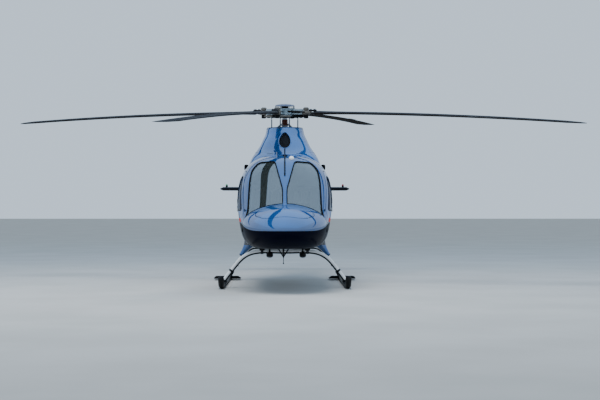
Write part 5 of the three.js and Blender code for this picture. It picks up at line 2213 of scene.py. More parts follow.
    def _grip(self, blade: Builder) -> None:
        """The grip: bearing housing, block, clamp with bolts, pitch horn and its ball.

        Args:
            blade: where it goes.
        """
        blade.turned(self.bearing, self.grip_at, sides=36, slot=4)
        blade.turned(self.housing, self.grip_at, sides=36, slot=3)
        blade.prism(whole(both(self.grip_plate)), -0.040, 0.036, bevel=0.006, slot=3)
        clamp = whole(both(self.clamp))
        blade.prism(clamp, -0.024, 0.010, bevel=0.004, slot=4)
        blade.prism(clamp, 0.020, 0.054, bevel=0.006, slot=4)
        for x, y in itertools.product((0.492, 0.566), (-0.028, 0.028)):
            blade.turned(self.clamp_bolt, (x, y, 0.0), sides=6, slot=5)
        angle = circle(8)
        heads = np.stack([0.040 * np.cos(angle), 0.040 * np.sin(angle), np.full(8, 0.085)], 1)
        blade.studs(heads + np.array(self.grip_at), np.tile([[0.0, 0.0, 1.0]], (8, 1)), 0.006, 0.006, 5)
        lead = math.radians(self.link_lead)
        ball = np.array([self.link_reach * math.cos(lead), self.link_reach * math.sin(lead), self.link_top])
        blade.block((0.42, -0.118, -0.022), (0.52, -0.050, 0.022), 0.008, 3)
        root = np.array([0.385, 0.02, self.link_top])
        blade.tube(np.linspace(root, ball, 12), np.linspace(0.020, 0.012, 12), 18, 3)
        blade.turned(self.socket, ball, sides=24, slot=3)
        blade.turned(self.ball, ball, sides=20, slot=5)

    def _hub(self, shop: Workshop) -> None:
        """The hub: a turned centre and two rings, and the four arms.

        Args:
            shop: the workshop.
        """
        hub = Builder()
        hub.turned(self.centre, sides=64)
        arm = self._arm()
        for number in range(4):
            hub.merge(arm, self._turned_to(number))
        hub.turned(self.lower_ring, sides=48, slot=3)
        hub.turned(self.upper_ring, sides=40, slot=3)
        shop.piece(hub, "hub_assembly", ["hub_metal", "grip_metal", "fastener", "black_coating"],
                   "main_rotor", ["rotor_hub"], rotor=True)

    def _arm(self) -> Builder:
        """One arm along +x: two plates, a web, a bottle, rows of bolts, and a ribbed damper on its lug.

        Returns:
            The arm.
        """
        one = Builder()
        arm = whole(both(self.arm), 6)
        one.prism(arm, -0.034, 0.004, bevel=0.005)
        one.prism(arm, 0.020, 0.058, bevel=0.005)
        one.block((0.07, -0.03, -0.02), (0.33, 0.03, 0.05), 0.006, 1)
        one.turned(self.bottle, (0.100, 0.0, -0.0655), (1, 0, 0), 28, 3)
        for x, y in itertools.product((0.205, 0.245, 0.285, 0.320), (-0.028, 0.028)):
            one.turned(self.arm_bolt, (x, y, 0.0), sides=6, slot=2)
            one.turned(self.arm_nut, (x, y, 0.0), sides=6, slot=2)
        start, end = np.array(self.damper)
        length = float(np.linalg.norm(end - start))
        ribs = []
        for height in 0.05 + 0.017 * np.arange(9):
            ribs += [(0.0225, height), (0.0245, height + 0.005), (0.0225, height + 0.010)]
        one.turned([(0, -0.020), (0.014, -0.018), (0.016, 0.0), (0.016, 0.044), *ribs, (0.014, 0.206),
                    (0.012, 0.214), (0.012, length), (0, length)], start, end - start, 28, 3)
        lug = whole(self.lug)
        one.prism(lug, -0.020, -0.004, bevel=0.003)
        one.prism(lug, 0.036, 0.048, bevel=0.003)
        for turn in (0.0, 45.0):
            place = about((0, 0, 1), turn) @ np.array([0.178, 0.0, 0.0])
            one.turned(self.cap_bolt, place, sides=12, slot=2)
            one.turned(self.cap_nut, place, sides=6, slot=2)
        return one

    def _cap(self, shop: Workshop) -> None:
        """The cap over the hub, with a ring of screws.

        Args:
            shop: the workshop.
        """
        cap = Builder()
        cap.turned(self.cap, sides=72)
        angle = np.radians(np.arange(0, 360, 30) + 8.0)
        rim = np.stack([0.160 * np.cos(angle), 0.160 * np.sin(angle), np.full(12, 0.1375)], 1)
        cap.studs(rim, rim * np.array([0.5, 0.5, 0.0]) + np.array([0, 0, 1.0]), 0.006, 0.003, 1)
        shop.piece(cap, "hub_cap", ["grey_paint", "fastener"], "main_rotor", ["rotor_cap"], rotor=True)

    def _mast(self, shop: Workshop) -> None:
        """The mast with its boot and collar, the swashplate's turning ring, its scissors and four links.

        Args:
            shop: the workshop.
        """
        mast = Builder()
        foot, reach = self.link_foot, self.link_reach
        mast.turned(self.shaft, sides=40)
        folds = [(0.050 + 0.007 * (k % 2), self.boot_low + 0.0085 * k) for k in range(13)]
        mast.turned([(0.046, self.boot_low), *folds, (0.046, self.boot_high)], sides=40, slot=1)
        mast.turned(self.swashplate, (0, 0, foot), sides=56, slot=2)
        one = Builder()
        one.block((0.048, -0.020, foot + 0.110), (0.086, 0.020, foot + 0.150), 0.005, 2)
        knee = np.array([0.128, 0.0, foot + 0.085])
        one.tube(np.linspace((0.078, 0, foot + 0.130), knee, 4), 0.011, 12, 2, 1.4)
        one.tube(np.linspace(knee, (0.125, 0, foot + 0.018), 4), 0.011, 12, 2, 1.4)
        one.turned([(0, -0.022), (0.012, -0.020), (0.012, 0.020), (0, 0.022)], knee, (0, 1, 0), 14, 3)
        for turn in (20.0, 200.0):
            mast.merge(one, about((0, 0, 1), turn))
        link = Builder()
        link.prism(whole(both(self.horn)), foot - 0.013, foot + 0.013, bevel=0.004, slot=2)
        link.turned(self.link, (reach, 0, foot), sides=18, slot=3)
        for height in self.link_nuts:
            link.rod(0.0115, -0.006, 0.006, (reach, 0, foot + height), sides=6, slot=3)
        for number in range(4):
            mast.merge(link, self._turned_to(number, self.link_lead))
        shop.piece(mast, "mast_assembly", ["bare_steel", "boot_rubber", "cast_metal", "fastener"],
                   "main_rotor", ["mast"], rotor=True)


@dataclass
class SkidGear:
    """The skids with saddles and pads, the two bent cross tubes, and the fairings over the rear legs."""

    track: float = 1.040
    radius: float = 0.050
    rear: float = 1.300
    bend_start: float = -2.294
    bend_radius: float = 0.300
    bend_angle: float = 42.0
    tip: float = 0.110
    tube_radius: float = 0.036
    front_y: float = -1.950
    rear_y: float = 0.620
    # Columns: x, z
    front_leg: tuple = (
        (0.06, 0.600), (0.42, 0.600), (0.60, 0.560), (0.717, 0.486), (0.878, 0.300), (0.995, 0.145),
        (1.042, 0.072),
    )
    rear_leg: tuple = (
        (0.06, 0.605), (0.50, 0.605), (0.61, 0.590), (0.70, 0.525), (0.77, 0.450), (0.83, 0.372),
        (0.96, 0.205), (1.042, 0.072),
    )
    # Columns: x, z, half thickness across the leg, half width along y
    fairing: tuple = (
        (0.630, 0.745, 0.120, 0.150), (0.672, 0.655, 0.092, 0.120), (0.722, 0.578, 0.062, 0.095),
        (0.778, 0.500, 0.042, 0.070), (0.818, 0.448, 0.032, 0.052),
    )
    # Columns: radius, share of the length. The sleeve round the foot of each leg
    sleeve: tuple = (
        (0, 0), (0.050, 0), (0.050, 0.62), (0.052, 0.66), (0.052, 0.92), (0.049, 1.0), (0.0365, 1.0),
    )
    # Straps: inner and outer radius, half the width
    saddle_strap: tuple = (0.0505, 0.056, 0.014)
    pad_strap: tuple = (0.0505, 0.055, 0.016)
    belly_strap: tuple = (0.0362, 0.041, 0.022)
    leg_strap: tuple = (0.0362, 0.042, 0.017)
    # Places across: the straps at the belly and the clamps on the legs
    belly_x: tuple = (-0.38, 0.38)
    clamp_x: tuple = (-0.895, 0.895)
    # The pad: first and last y, z of both faces, half its width and how far out its middle lies
    pad_y: tuple = (0.385, 0.850)
    pad_z: tuple = (0.027, 0.043)
    pad_half: float = 0.243
    pad_out: float = 0.015
    # Columns: radius, height
    saddle_bolt: tuple = ((0, 0.07), (0.009, 0.07), (0.009, 0.090), (0.005, 0.093), (0, 0.093))
    pad_bolt: tuple = ((0, 0.04), (0.010, 0.04), (0.010, 0.052), (0, 0.054))

    def build(self, shop: Workshop) -> None:
        """Makes every piece.

        Args:
            shop: the workshop.
        """
        for side in Side:
            self._skid(shop, side)
            self._leg_fairing(shop, side)
        self._cross_tube(shop, "front", self.front_y, self.front_leg)
        self._cross_tube(shop, "rear", self.rear_y, self.rear_leg)

    def _route(self) -> Array:
        """The skid's centre line: straight, then an arc of a circle, then straight up to the tip.

        Returns:
            Points.
        """
        turn = np.linspace(0.0, math.radians(self.bend_angle), 18)
        arc = np.stack([self.bend_start - self.bend_radius * np.sin(turn),
                        self.radius + self.bend_radius * (1 - np.cos(turn))], 1)
        last = arc[-1] + self.tip * np.array([-math.cos(turn[-1]), math.sin(turn[-1])])
        straight = np.stack([np.linspace(self.rear, self.bend_start + 0.02, 24), np.full(24, self.radius)], 1)
        flat = np.concatenate([straight, arc, [arc[-1] * 0.5 + last * 0.5, last]])
        return np.concatenate([np.full((len(flat), 1), self.track), flat], 1)

    def _skid(self, shop: Workshop, side: Side) -> None:
        """One skid: the tube with domed ends, a saddle with straps and bolts at each leg, and the pad.

        Args:
            shop: the workshop.
            side: which side.
        """
        skid = Builder()
        route = self._route()
        dome = self.radius * np.maximum(np.sqrt(1 - np.linspace(1.0, 0.2, 5) ** 2), 0.05)
        along = unit(np.gradient(route, axis=0))
        short = self.radius * (1.0 - np.linspace(0, 1, 6)[1:, None]) * 0.6
        front = route[-1] - along[-1] * short
        rear = route[0] + along[0] * short
        path = np.concatenate([rear[::-1], route[2:-2], front])
        skid.tube(path, np.concatenate([dome, np.full(len(route) - 4, self.radius), dome[::-1]]), 32)
        for y, leg in ((self.front_y, self.front_leg), (self.rear_y, self.rear_leg)):
            self._saddle(skid, y, leg)
        self._pad(skid)
        skid.floor(0.0003)
        skid.flip(side)
        shop.piece(skid, f"skid_tube_{side.word}", ["black_coating", "fastener"],
                   replaces=[f"skid_{side.word}"])

    def _saddle(self, skid: Builder, y: float, leg: Sequence) -> None:
        """The sleeve on a leg's foot, the saddle under it, its two straps and its four bolts.

        Args:
            skid: where it goes.
            y: the leg's place.
            leg: its centre line, rows of x and z.
        """
        (ax, az), (bx, bz) = leg[-2:]
        foot = np.array([bx, y, bz - 0.02])
        top = np.array([bx + (ax - bx) * 0.8, y, bz + (az - bz) * 0.8])
        length = float(np.linalg.norm(top - foot))
        profile = [(radius, share * length) for radius, share in self.sleeve]
        profile += [(0.0365, length - 0.02), (0, length - 0.02)]
        skid.turned(profile, foot, top - foot, 28)
        for run in (-0.045, 0.045):
            skid.strap(*self.saddle_strap, (self.track, y + run, self.radius), (0, 1, 0))
        skid.block((self.track - 0.058, y - 0.068, 0.040), (self.track + 0.058, y + 0.068, 0.082), 0.012)
        for x, run in itertools.product((-0.047, 0.047), (-0.045, 0.045)):
            skid.turned(self.saddle_bolt, (self.track + x, y + run, 0.0), sides=6, slot=1)

    def _pad(self, skid: Builder) -> None:
        """The flat pad under the skid's rear: a bolted plate with rounded corners, turned up in front.

        Args:
            skid: where it goes.
        """
        x = np.linspace(-1.0, 1.0, 25)
        y = np.linspace(0.0, 1.0, 25)
        inset = 0.06 * (1.0 - np.sqrt(1.0 - np.maximum(np.abs(x) - 0.75, 0.0) ** 2 * 15.9))
        start, end = self.pad_y[0] + inset, self.pad_y[1] - inset
        rows = start[None] + (end - start)[None] * y[:, None]
        rise = 0.044 * np.clip((0.455 - rows) / 0.07, 0.0, 1.0) ** 1.6
        across = self.track + self.pad_out + self.pad_half * np.broadcast_to(x, rows.shape)
        under, top = (np.stack([across, rows, z + rise], -1) for z in self.pad_z)
        skid.sheet(np.concatenate([top, under[::-1]]), loop=True)
        for edge in (0, -1):
            skid.add(np.concatenate([top[:, edge], under[::-1, edge]]), [list(range(50))])
        for out, run in itertools.product((-0.075, 0.075), (0.50, 0.62, 0.74)):
            skid.turned(self.pad_bolt, (self.track + out, run, 0.0), sides=6, slot=1)
        for run in (0.52, 0.72):
            skid.strap(*self.pad_strap, (self.track, run, self.radius), (0, 1, 0))

    def _cross_tube(self, shop: Workshop, name: str, y: float, leg: Sequence) -> None:
        """One cross tube: white above and painted black below as painted shade, with straps at the belly and
        a clamp on each leg.

        Args:
            shop: the workshop.
            name: front or rear.
            y: its place.
            leg: one leg's centre line, rows of x and z, from the middle outwards.
        """
        tube = Builder()
        path = curve([(-x, y, z) for x, z in reversed(leg)] + [(x, y, z) for x, z in leg], 120)
        along = unit(np.gradient(path, axis=0))
        across = np.tile([[0.0, 1.0, 0.0]], (len(path), 1))
        lift = np.cross(along, across)
        lift *= np.sign(lift[:, 2:])

        def around(turn: Array) -> Array:
            """The tube's surface at some angles: a ring for each point of its path."""
            spoke = np.cos(turn)[:, None] * across[:, None] + np.sin(turn)[:, None] * lift[:, None]
            return path[:, None] + self.tube_radius * spoke

        above = np.radians(np.linspace(-15.0, 195.0, 22))
        below = np.radians(np.linspace(195.0, 345.0, 16))
        tube.sheet(around(above))
        # The lower half is painted black: painted shade under the tube
        tube.sheet(around(below), slot=1)
        rings = around(np.concatenate([above, below[1:-1]]))
        order = list(range(rings.shape[1]))
        tube.add(rings[0], [order])
        tube.add(rings[-1], [order[::-1]])
        level = leg[0][1]
        for x in self.belly_x:
            tube.block((x - 0.043, y - 0.048, level + 0.020), (x + 0.043, y + 0.048, level + 0.088), 0.006, 1)
            tube.strap(*self.belly_strap, (x, y, level), (1, 0, 0), 32)
            for run in (-0.040, 0.040):
                tube.rod(0.006, -0.016, 0.026, (x, y + run, level), sides=6, slot=2)
        for x in self.clamp_x:
            near = np.argmin(np.abs(path[:, 0] - x))
            tube.strap(*self.leg_strap, path[near], along[near], 28)
            tube.studs(path[near:near + 1] - lift[near] * 0.044, -lift[near:near + 1], 0.010, 0.012, 2)
        shop.piece(tube, f"{name}_cross_tube_bar", ["white_paint", "black_coating", "fastener"],
                   replaces=[f"{name}_cross_tube"])

    def _leg_fairing(self, shop: Workshop, side: Side) -> None:
        """The fairing over one rear leg: ellipses carried down the leg, ending in a rubber cuff.

        Args:
            shop: the workshop.
            side: which side.
        """
        table = np.array(self.fairing)
        rows = spline(np.arange(5.0), table)(np.linspace(0.0, 4.0, 26))
        centre = np.stack([rows[:, 0], np.full(26, self.rear_y), rows[:, 1]], 1)
        along = unit(np.gradient(centre, axis=0))
        across = np.stack([-along[:, 2], np.zeros(26), along[:, 0]], 1)
        angle = circle(48)
        grid = (centre[:, None] + rows[:, 2, None, None] * np.cos(angle)[None, :, None] * across[:, None]
                + rows[:, 3, None, None] * np.sin(angle)[None, :, None] * np.array([0.0, 1.0, 0.0]))
        fairing = Builder()
        fairing.sheet(grid, wrap=True, ends=True)
        cuff = grid[-3:-1] + 0.004 * unit(grid[-3:-1] - centre[-3:-1, None])
        fairing.sheet(np.stack([grid[-3], cuff[0], cuff[1], grid[-2]]), wrap=True, slot=1)
        fairing.flip(side)
        shop.piece(fairing, f"leg_cover_{side.word}", ["blue_paint", "rubber"],
                   replaces=[f"leg_fairing_{side.word}"])


@dataclass
class Cushion:
    """A padded leather cushion, puffed by a short cloth simulation, with sewn channels pressed in afterwards.

    In its own axes x is across, y runs along it and z is its crown. It is then leaned back and moved.
    """

    width: float
    length: float
    height: float
    lean: float = 0.0
    move: tuple = (0.0, 0.0, 0.0)
    seams: tuple = ()
    cross_seams: tuple = ()
    cap: float = 0.016
    voxel: float = 0.013
    pressure: float = 4.0
    frames: int = 20
    groove: float = 0.011
    # The seam round the rim: its width's measure, its depth, and how far in from the edge it fades
    rim_width: float = 0.009
    rim_depth: float = 0.006
    rim_fade: float = 0.05

    def build(self, shop: Workshop, name: str, source: Optional[bpy.types.Object] = None) -> bpy.types.Object:
        """Makes the cushion, or copies one of the same size.

        Args:
            shop: the workshop.
            name: its name.
            source: a finished cushion with the same sizes, whose mesh is taken over before it is moved.

        Returns:
            The piece.
        """
        if source is None:
            piece = self._raw(shop, name)
            self._puff(piece)
            points = self._sewn(self._read(piece))
        else:
            piece = bpy.data.objects.new(name, source.data.copy())
            bpy.context.scene.collection.objects.link(piece)
            points = shop.pads[source.name]
        shop.pads[name] = points
        turn = about((1, 0, 0), self.lean)
        placed = points @ turn.T + np.array(self.move) + np.array([0.0, shop.mast_y, 0.0])
        piece.data.vertices.foreach_set("co", placed.reshape(-1))
        piece.data.update()
        smooth = piece.modifiers.new("smooth", "SUBSURF")
        smooth.levels = smooth.render_levels = 1
        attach(piece, "airframe")
        LOG.info("padded %s", name)
        return piece

    def _raw(self, shop: Workshop, name: str) -> bpy.types.Object:
        """The unpuffed pad: a rounded block a little smaller than the finished cushion.

        Args:
            shop: the workshop.
            name: its name.

        Returns:
            The pad.
        """
        half, long = self.width / 2 - self.cap * 0.6, self.length / 2 - self.cap * 0.6
        slim = self.height / 2 - self.cap * 0.7
        builder = Builder()
        builder.prism(oblong(half, long, 0.07), -slim, slim, bevel=min(0.03, slim * 0.9))
        piece = builder.build(name, [shop.finishes["seat_leather"]])
        remesh = piece.modifiers.new("remesh", "REMESH")
        remesh.mode = "VOXEL"
        remesh.voxel_size = self.voxel
        return self._applied(piece)

    @staticmethod
    def _applied(piece: bpy.types.Object) -> bpy.types.Object:
        """The piece with its modifiers made part of its mesh.

        Args:
            piece: a piece with modifiers.

        Returns:
            The same piece.
        """
        graph = bpy.context.evaluated_depsgraph_get()
        mesh = bpy.data.meshes.new_from_object(piece.evaluated_get(graph))
        piece.modifiers.clear()
        piece.data = mesh
        mesh.polygons.foreach_set("use_smooth", [True] * len(mesh.polygons))
        return piece

    @staticmethod
    def _read(piece: bpy.types.Object) -> Array:
        """The mesh's points as rows.

        Args:
            piece: a piece.

        Returns:
            Rows of x, y and z.
        """
        points = np.empty(len(piece.data.vertices) * 3)
        piece.data.vertices.foreach_get("co", points)
        return points.reshape(-1, 3)

    def _puff(self, piece: bpy.types.Object) -> None:
        """Blows the pad up as cloth for some frames, with each point's way capped.

        Args:
            piece: the pad.
        """
        before = self._read(piece)
        cloth = piece.modifiers.new("cloth", "CLOTH")
        cloth.settings.use_pressure = True
        cloth.settings.uniform_pressure_force = self.pressure
        cloth.settings.effector_weights.gravity = 0.0
        scene = bpy.context.scene
        for number in range(self.frames):
            scene.frame_set(number + 1)
        graph = bpy.context.evaluated_depsgraph_get()
        shaped = piece.evaluated_get(graph).to_mesh()
        after = np.empty(len(before) * 3)
        shaped.vertices.foreach_get("co", after)
        piece.evaluated_get(graph).to_mesh_clear()
        piece.modifiers.clear()
        scene.frame_set(1)
        move = after.reshape(-1, 3) - before
        move -= move.mean(0)
        length = np.linalg.norm(move, axis=1, keepdims=True)
        shaped_points = before + move * np.minimum(1.0, self.cap / np.maximum(length, 1e-9))
        piece.data.vertices.foreach_set("co", shaped_points.reshape(-1))

    def _sewn(self, points: Array) -> Array:
        """Presses in the seams: a soft groove across the crown at each, and one round the rim's middle.

        Args:
            points: the pad's points.

        Returns:
            The pressed points.
        """
        x, y, z = points.T
        depth = np.zeros(len(points))
        for place in self.seams:
            depth = np.maximum(depth, np.exp(-((x - place) / self.groove) ** 2))
        for place in self.cross_seams:
            depth = np.maximum(depth, np.exp(-((y - place) / self.groove) ** 2))
        edge = np.minimum(self.width / 2 - np.abs(x), self.length / 2 - np.abs(y))
        inward = np.clip(edge / self.rim_fade, 0.0, 1.0)
        lowered = z - depth * self.groove * inward * (z > 0)
        rim = np.exp(-(z / self.rim_width) ** 2) * (1.0 - inward) * self.rim_depth
        out = unit(points * np.array([1.0, 1.0, 0.0]))
        moved = points - out * rim[:, None]
        moved[:, 2] = lowered
        limit = np.array([self.width / 2, self.length / 2, self.height / 2])
        return np.clip(moved, -limit, limit)


@dataclass
class Interior:
    """Seats, benches, belts, the instrument panel and the controls."""

    floor: float = 0.812
    # Columns: centre x, front y, width, depth, height of the back's top
    crew: tuple = (0.33, -2.15, 0.46, 0.48, 1.70)
    benches: tuple = (("middle_bench", -1.20), ("rear_bench", -0.34))
    seat_middle_z: float = 1.120
    seat_thick: float = 0.118
    # Cushions on the backs: length, thickness, lean in degrees, z of the middle
    crew_back: tuple = (0.575, 0.088, 72.5, 1.395)
    bench_cushion: tuple = (0.525, 0.085, 71.5, 1.365)
    bench_width: float = 1.16
    bench_depth: float = 0.44
    bench_back: float = 1.65
    # Seams across the crew's cushions and along them, on the seat and on the back
    crew_seams: tuple = ((-0.12, 0.0, 0.12), (-0.12, 0.12))
    crew_cross_seams: tuple = (-0.13, 0.15)
    bench_seams: tuple = (-0.38, -0.193, 0.0, 0.193, 0.38)
    belts: tuple = (-0.38, 0.0, 0.38)
    # Columns: y behind the seat's front edge, z, radius. Both rear corners are given from the rear edge
    box_front: tuple = ((0.04, 0.840, 0.01), (0.005, 1.058, 0.03))
    box_rear: tuple = ((-0.005, 1.058, 0.01), (-0.03, 0.840, 0.01))
    # Columns: y behind the seat's rear edge, z above 0 or the top, radius
    plate_low: tuple = ((-0.045, 1.10, 0.01), (-0.002, 1.075, 0.01))
    plate_high: tuple = ((0.156, -0.005, 0.015), (0.125, -0.003, 0.012))
    # Columns: radius, height
    buckle: tuple = ((0, 0), (0.026, 0), (0.028, 0.004), (0.026, 0.012), (0.012, 0.016), (0, 0.016))
    # Columns: y, z, radius. Outlines that are drawn out across the machine
    board: tuple = (
        (-2.895, 0.814, 0.01), (-2.895, 1.295, 0.04), (-2.735, 1.400, 0.03), (-2.690, 1.385, 0.02),
        (-2.720, 1.00, 0.04), (-2.66, 0.814, 0.01),
    )
    hood: tuple = (
        (-2.880, 1.300, 0.01), (-2.730, 1.412, 0.03), (-2.645, 1.398, 0.015), (-2.650, 1.380, 0.01),
        (-2.730, 1.385, 0.02), (-2.870, 1.275, 0.01),
    )
    console: tuple = (
        (-2.70, 0.814, 0.01), (-2.715, 1.03, 0.03), (-2.64, 1.045, 0.02), (-2.235, 0.94, 0.03),
        (-2.235, 0.814, 0.01),
    )
    # Columns: radius, height
    dial: tuple = ((0, -0.004), (0.038, -0.004), (0.038, 0.006), (0.034, 0.010), (0.032, 0.007), (0, 0.007))
    switch: tuple = ((0, -0.002), (0.006, 0.0), (0.006, 0.005), (0.0025, 0.007), (0.003, 0.022), (0, 0.024))
    knob: tuple = ((0, 0.002), (0.007, 0.003), (0.006, 0.013), (0, 0.014))
    boot: tuple = ((0.012, 0), (0.034, 0.0), (0.028, 0.02), (0.012, 0.045))
    # Columns: x from the seat's middle, y, z. The centre lines of stick, grip, collective lever and pedal
    stick: tuple = ((0, -2.30, 0.812), (0, -2.31, 0.93), (0, -2.36, 1.06), (0, -2.33, 1.18))
    grip: tuple = ((0, -2.335, 1.165), (0, -2.325, 1.22), (0, -2.335, 1.285))
    grip_radii: tuple = (0.017, 0.019, 0.020, 0.019, 0.017, 0.017, 0.018, 0.019, 0.021, 0.023, 0.022, 0.014)
    lever: tuple = ((-0.26, -1.98, 0.90), (-0.26, -2.14, 0.97), (-0.26, -2.28, 1.03))
    pedal: tuple = ((0, -2.93, 0.812), (0, -2.925, 0.88), (0, -2.90, 0.955))

    def build(self, shop: Workshop) -> None:
        """Makes every piece.

        Args:
            shop: the workshop.
        """
        self._crew_seats(shop)
        self._benches(shop)
        self._panel(shop)
        self._controls(shop)

    def _crew_seats(self, shop: Workshop) -> None:
        """The two crew seats, each a shell with a seat cushion, a back cushion and a belt.

        Args:
            shop: the workshop.
        """
        x, y, width, depth, top = self.crew
        seat_seams, back_seams = self.crew_seams
        long, thick, lean, z = self.crew_back
        wide = width - 0.03
        parts = {}
        for side in Side:
            at = x * side.value
            seat = Cushion(wide, depth - 0.02, self.seat_thick, 0.0,
                           (at, y + depth / 2 - 0.04, self.seat_middle_z), seat_seams)
            back = Cushion(wide, long, thick, lean, (at, y + depth - 0.002, z), back_seams,
                           self.crew_cross_seams)
            parts["seat"] = seat.build(shop, f"crew_cushion_{side.word}", parts.get("seat"))
            parts["back"] = back.build(shop, f"crew_back_{side.word}", parts.get("back"))
            shell = Builder()
            self._shell(shell, at, y, width, depth, top)
            self._belt(shell, at, y + depth, width, 1.408)
            shop.piece(shell, f"crew_seat_shell_{side.word}", ["trim_plastic", "belt", "bare_steel"],
                       replaces=[f"crew_seat_{side.word}"])

    def _benches(self, shop: Workshop) -> None:
        """The two benches, each a box with one long seat cushion and one long back cushion.

        Args:
            shop: the workshop.
        """
        parts = {}
        wide, deep, seams = self.bench_width, self.bench_depth, self.bench_seams
        long, thick, lean, z = self.bench_cushion
        for name, y in self.benches:
            seat = Cushion(wide - 0.02, deep - 0.01, self.seat_thick, 0.0,
                           (0.0, y + deep / 2 - 0.02, self.seat_middle_z), seams, voxel=0.016)
            back = Cushion(wide - 0.02, long, thick, lean, (0.0, y + deep - 0.002, z), seams, (0.12,),
                           voxel=0.016)
            parts["seat"] = seat.build(shop, f"{name}_cushion", parts.get("seat"))
            parts["back"] = back.build(shop, f"{name}_back", parts.get("back"))
            shell = Builder()
            self._shell(shell, 0.0, y, wide, deep, self.bench_back)
            for at in self.belts:
                self._belt(shell, at, y + deep, 0.38, 1.378)
            shop.piece(shell, f"{name}_shell", ["trim_plastic", "belt", "bare_steel"], replaces=[name])

    def _shell(self, shell: Builder, x: float, y: float, width: float, depth: float, top: float) -> None:
        """A seat's hard parts: two rails, a box with a sloped front, and a thin plate behind the cushion.

        Args:
            shell: where they go.
            x: the seat's middle.
            y: its front edge.
            width: its width.
            depth: from its front edge to its rear edge.
            top: the height of the back's top.
        """
        rear = y + depth
        low, high = self.floor + 0.001, self.floor + 0.03
        for side in (-1, 1):
            across = x + side * (width / 2 - 0.07)
            shell.block((across - 0.018, y + 0.01, low), (across + 0.018, rear - 0.01, high), 0.003, 2)
        box = [(y + run, z, r) for run, z, r in self.box_front]
        box += [(rear + run, z, r) for run, z, r in self.box_rear]
        shell.slab(box, width / 2 - 0.012, x, 0.008)
        plate = [(rear + run, z, r) for run, z, r in self.plate_low]
        plate += [(rear + run, top + z, r) for run, z, r in self.plate_high]
        shell.slab(plate, width / 2 - 0.006, x, 0.006)

    def _belt(self, shell: Builder, x: float, rear: float, width: float, middle: float) -> None:
        """A lap belt lying on the cushion and two shoulder straps down the back, meeting in a round buckle.

        Args:
            shell: where they go.
            x: the seat's middle.
            rear: its rear edge.
            width: the seat's width.
            middle: the height at which the straps lie 48.5 mm before the rear edge.
        """
        span = width / 2 - 0.03
        t = np.linspace(-1.0, 1.0, 25)[:, None]
        sag = (1 - t ** 2) * np.array([0, -0.07, 0.004])
        lap = np.array([x, rear - 0.17, 1.187]) + t * np.array([span, 0, 0]) + sag
        shell.ribbon(lap, np.tile([[0.0, 0.0, 1.0]], (25, 1)), 0.022, 0.002, 1, loop=False)
        heights = np.array([1.62, 1.54, 1.44, 1.34, 1.245])
        spread = np.interp(heights, [1.245, 1.62], [0.060, 0.085])
        for side in (-1, 1):
            down = np.stack([x + side * spread, rear - 0.0485 + 0.322 * (heights - middle), heights], 1)
            ends = [(x + side * 0.052, rear - 0.135, 1.198), (x + side * 0.015, rear - 0.225, 1.188)]
            line = curve([*down, *ends], 40)
            normals = unit(np.cross(unit(np.gradient(line, axis=0)), np.array([1.0, 0.0, 0.0])))
            shell.ribbon(line, normals, 0.020, 0.002, 1, loop=False)
        shell.turned(self.buckle, (x, rear - 0.235, 1.190), sides=28, slot=2)

    def _panel(self, shop: Workshop) -> None:
        """The instrument panel: a hooded board with two screens, dials and switches, and a centre console.

        Args:
            shop: the workshop.
        """
        panel = Builder()
        panel.slab(self.board, 0.405, bevel=0.012)
        panel.slab(self.hood, 0.418, bevel=0.008)
        face = unit(np.array([0.0, 1.0, -0.078]))
        across = np.array([1.0, 0.0, 0.0])
        up = np.cross(across, face)
        middle = np.array([0.0, -2.7035, 1.235])

        def fitted(x: float, z: float, ring: Array, proud: float, slot: int) -> None:
            """A rounded plate on the board's face."""
            panel.prism(ring, -0.004, proud, (-across, up), middle + across * x + up * z, 0.0015, slot)

        for x in (-0.245, 0.245):
            fitted(x, 0.035, oblong(0.130, 0.090, 0.012, 4, 9.0), 0.010, 0)
            fitted(x, 0.035, oblong(0.112, 0.072, 0.004, 4, 9.0), 0.0115, 1)
            for key in range(8):
                fitted(x - 0.098 + key * 0.028, -0.049, oblong(0.009, 0.005, 0.002, 4, 9.0), 0.0125, 2)
        for z in (0.085, 0.0):
            at = middle + up * z
            panel.turned(self.dial, at, face, 40)
            panel.rod(0.032, 0.0068, 0.0078, at, face, 40, 1)
            panel.rod(0.004, 0.0078, 0.010, at, face, 12, 2)
        for number in range(7):
            at = middle + across * (-0.072 + 0.024 * number) - up * 0.075
            panel.turned(self.switch, at, face, 12, 2)
        panel.slab(self.console, 0.085, bevel=0.010)
        slope = unit(np.array([0.0, 0.405, -0.105]))
        out = np.cross(across, slope)
        for row in range(4):
            at = np.array([0.0, -2.60, 1.0365]) + slope * (0.085 * row)
            panel.prism(oblong(0.07, 0.034, 0.006, 4, 9.0), -0.004, 0.003, (across, slope), at, 0.001)
            for column in range(4):
                panel.turned(self.knob, at + across * (-0.045 + 0.03 * column), out, 14, 2)
        shop.piece(panel, "instrument_board", ["black_plastic", "screen", "grey_paint"],
                   replaces=["instrument_panel"])

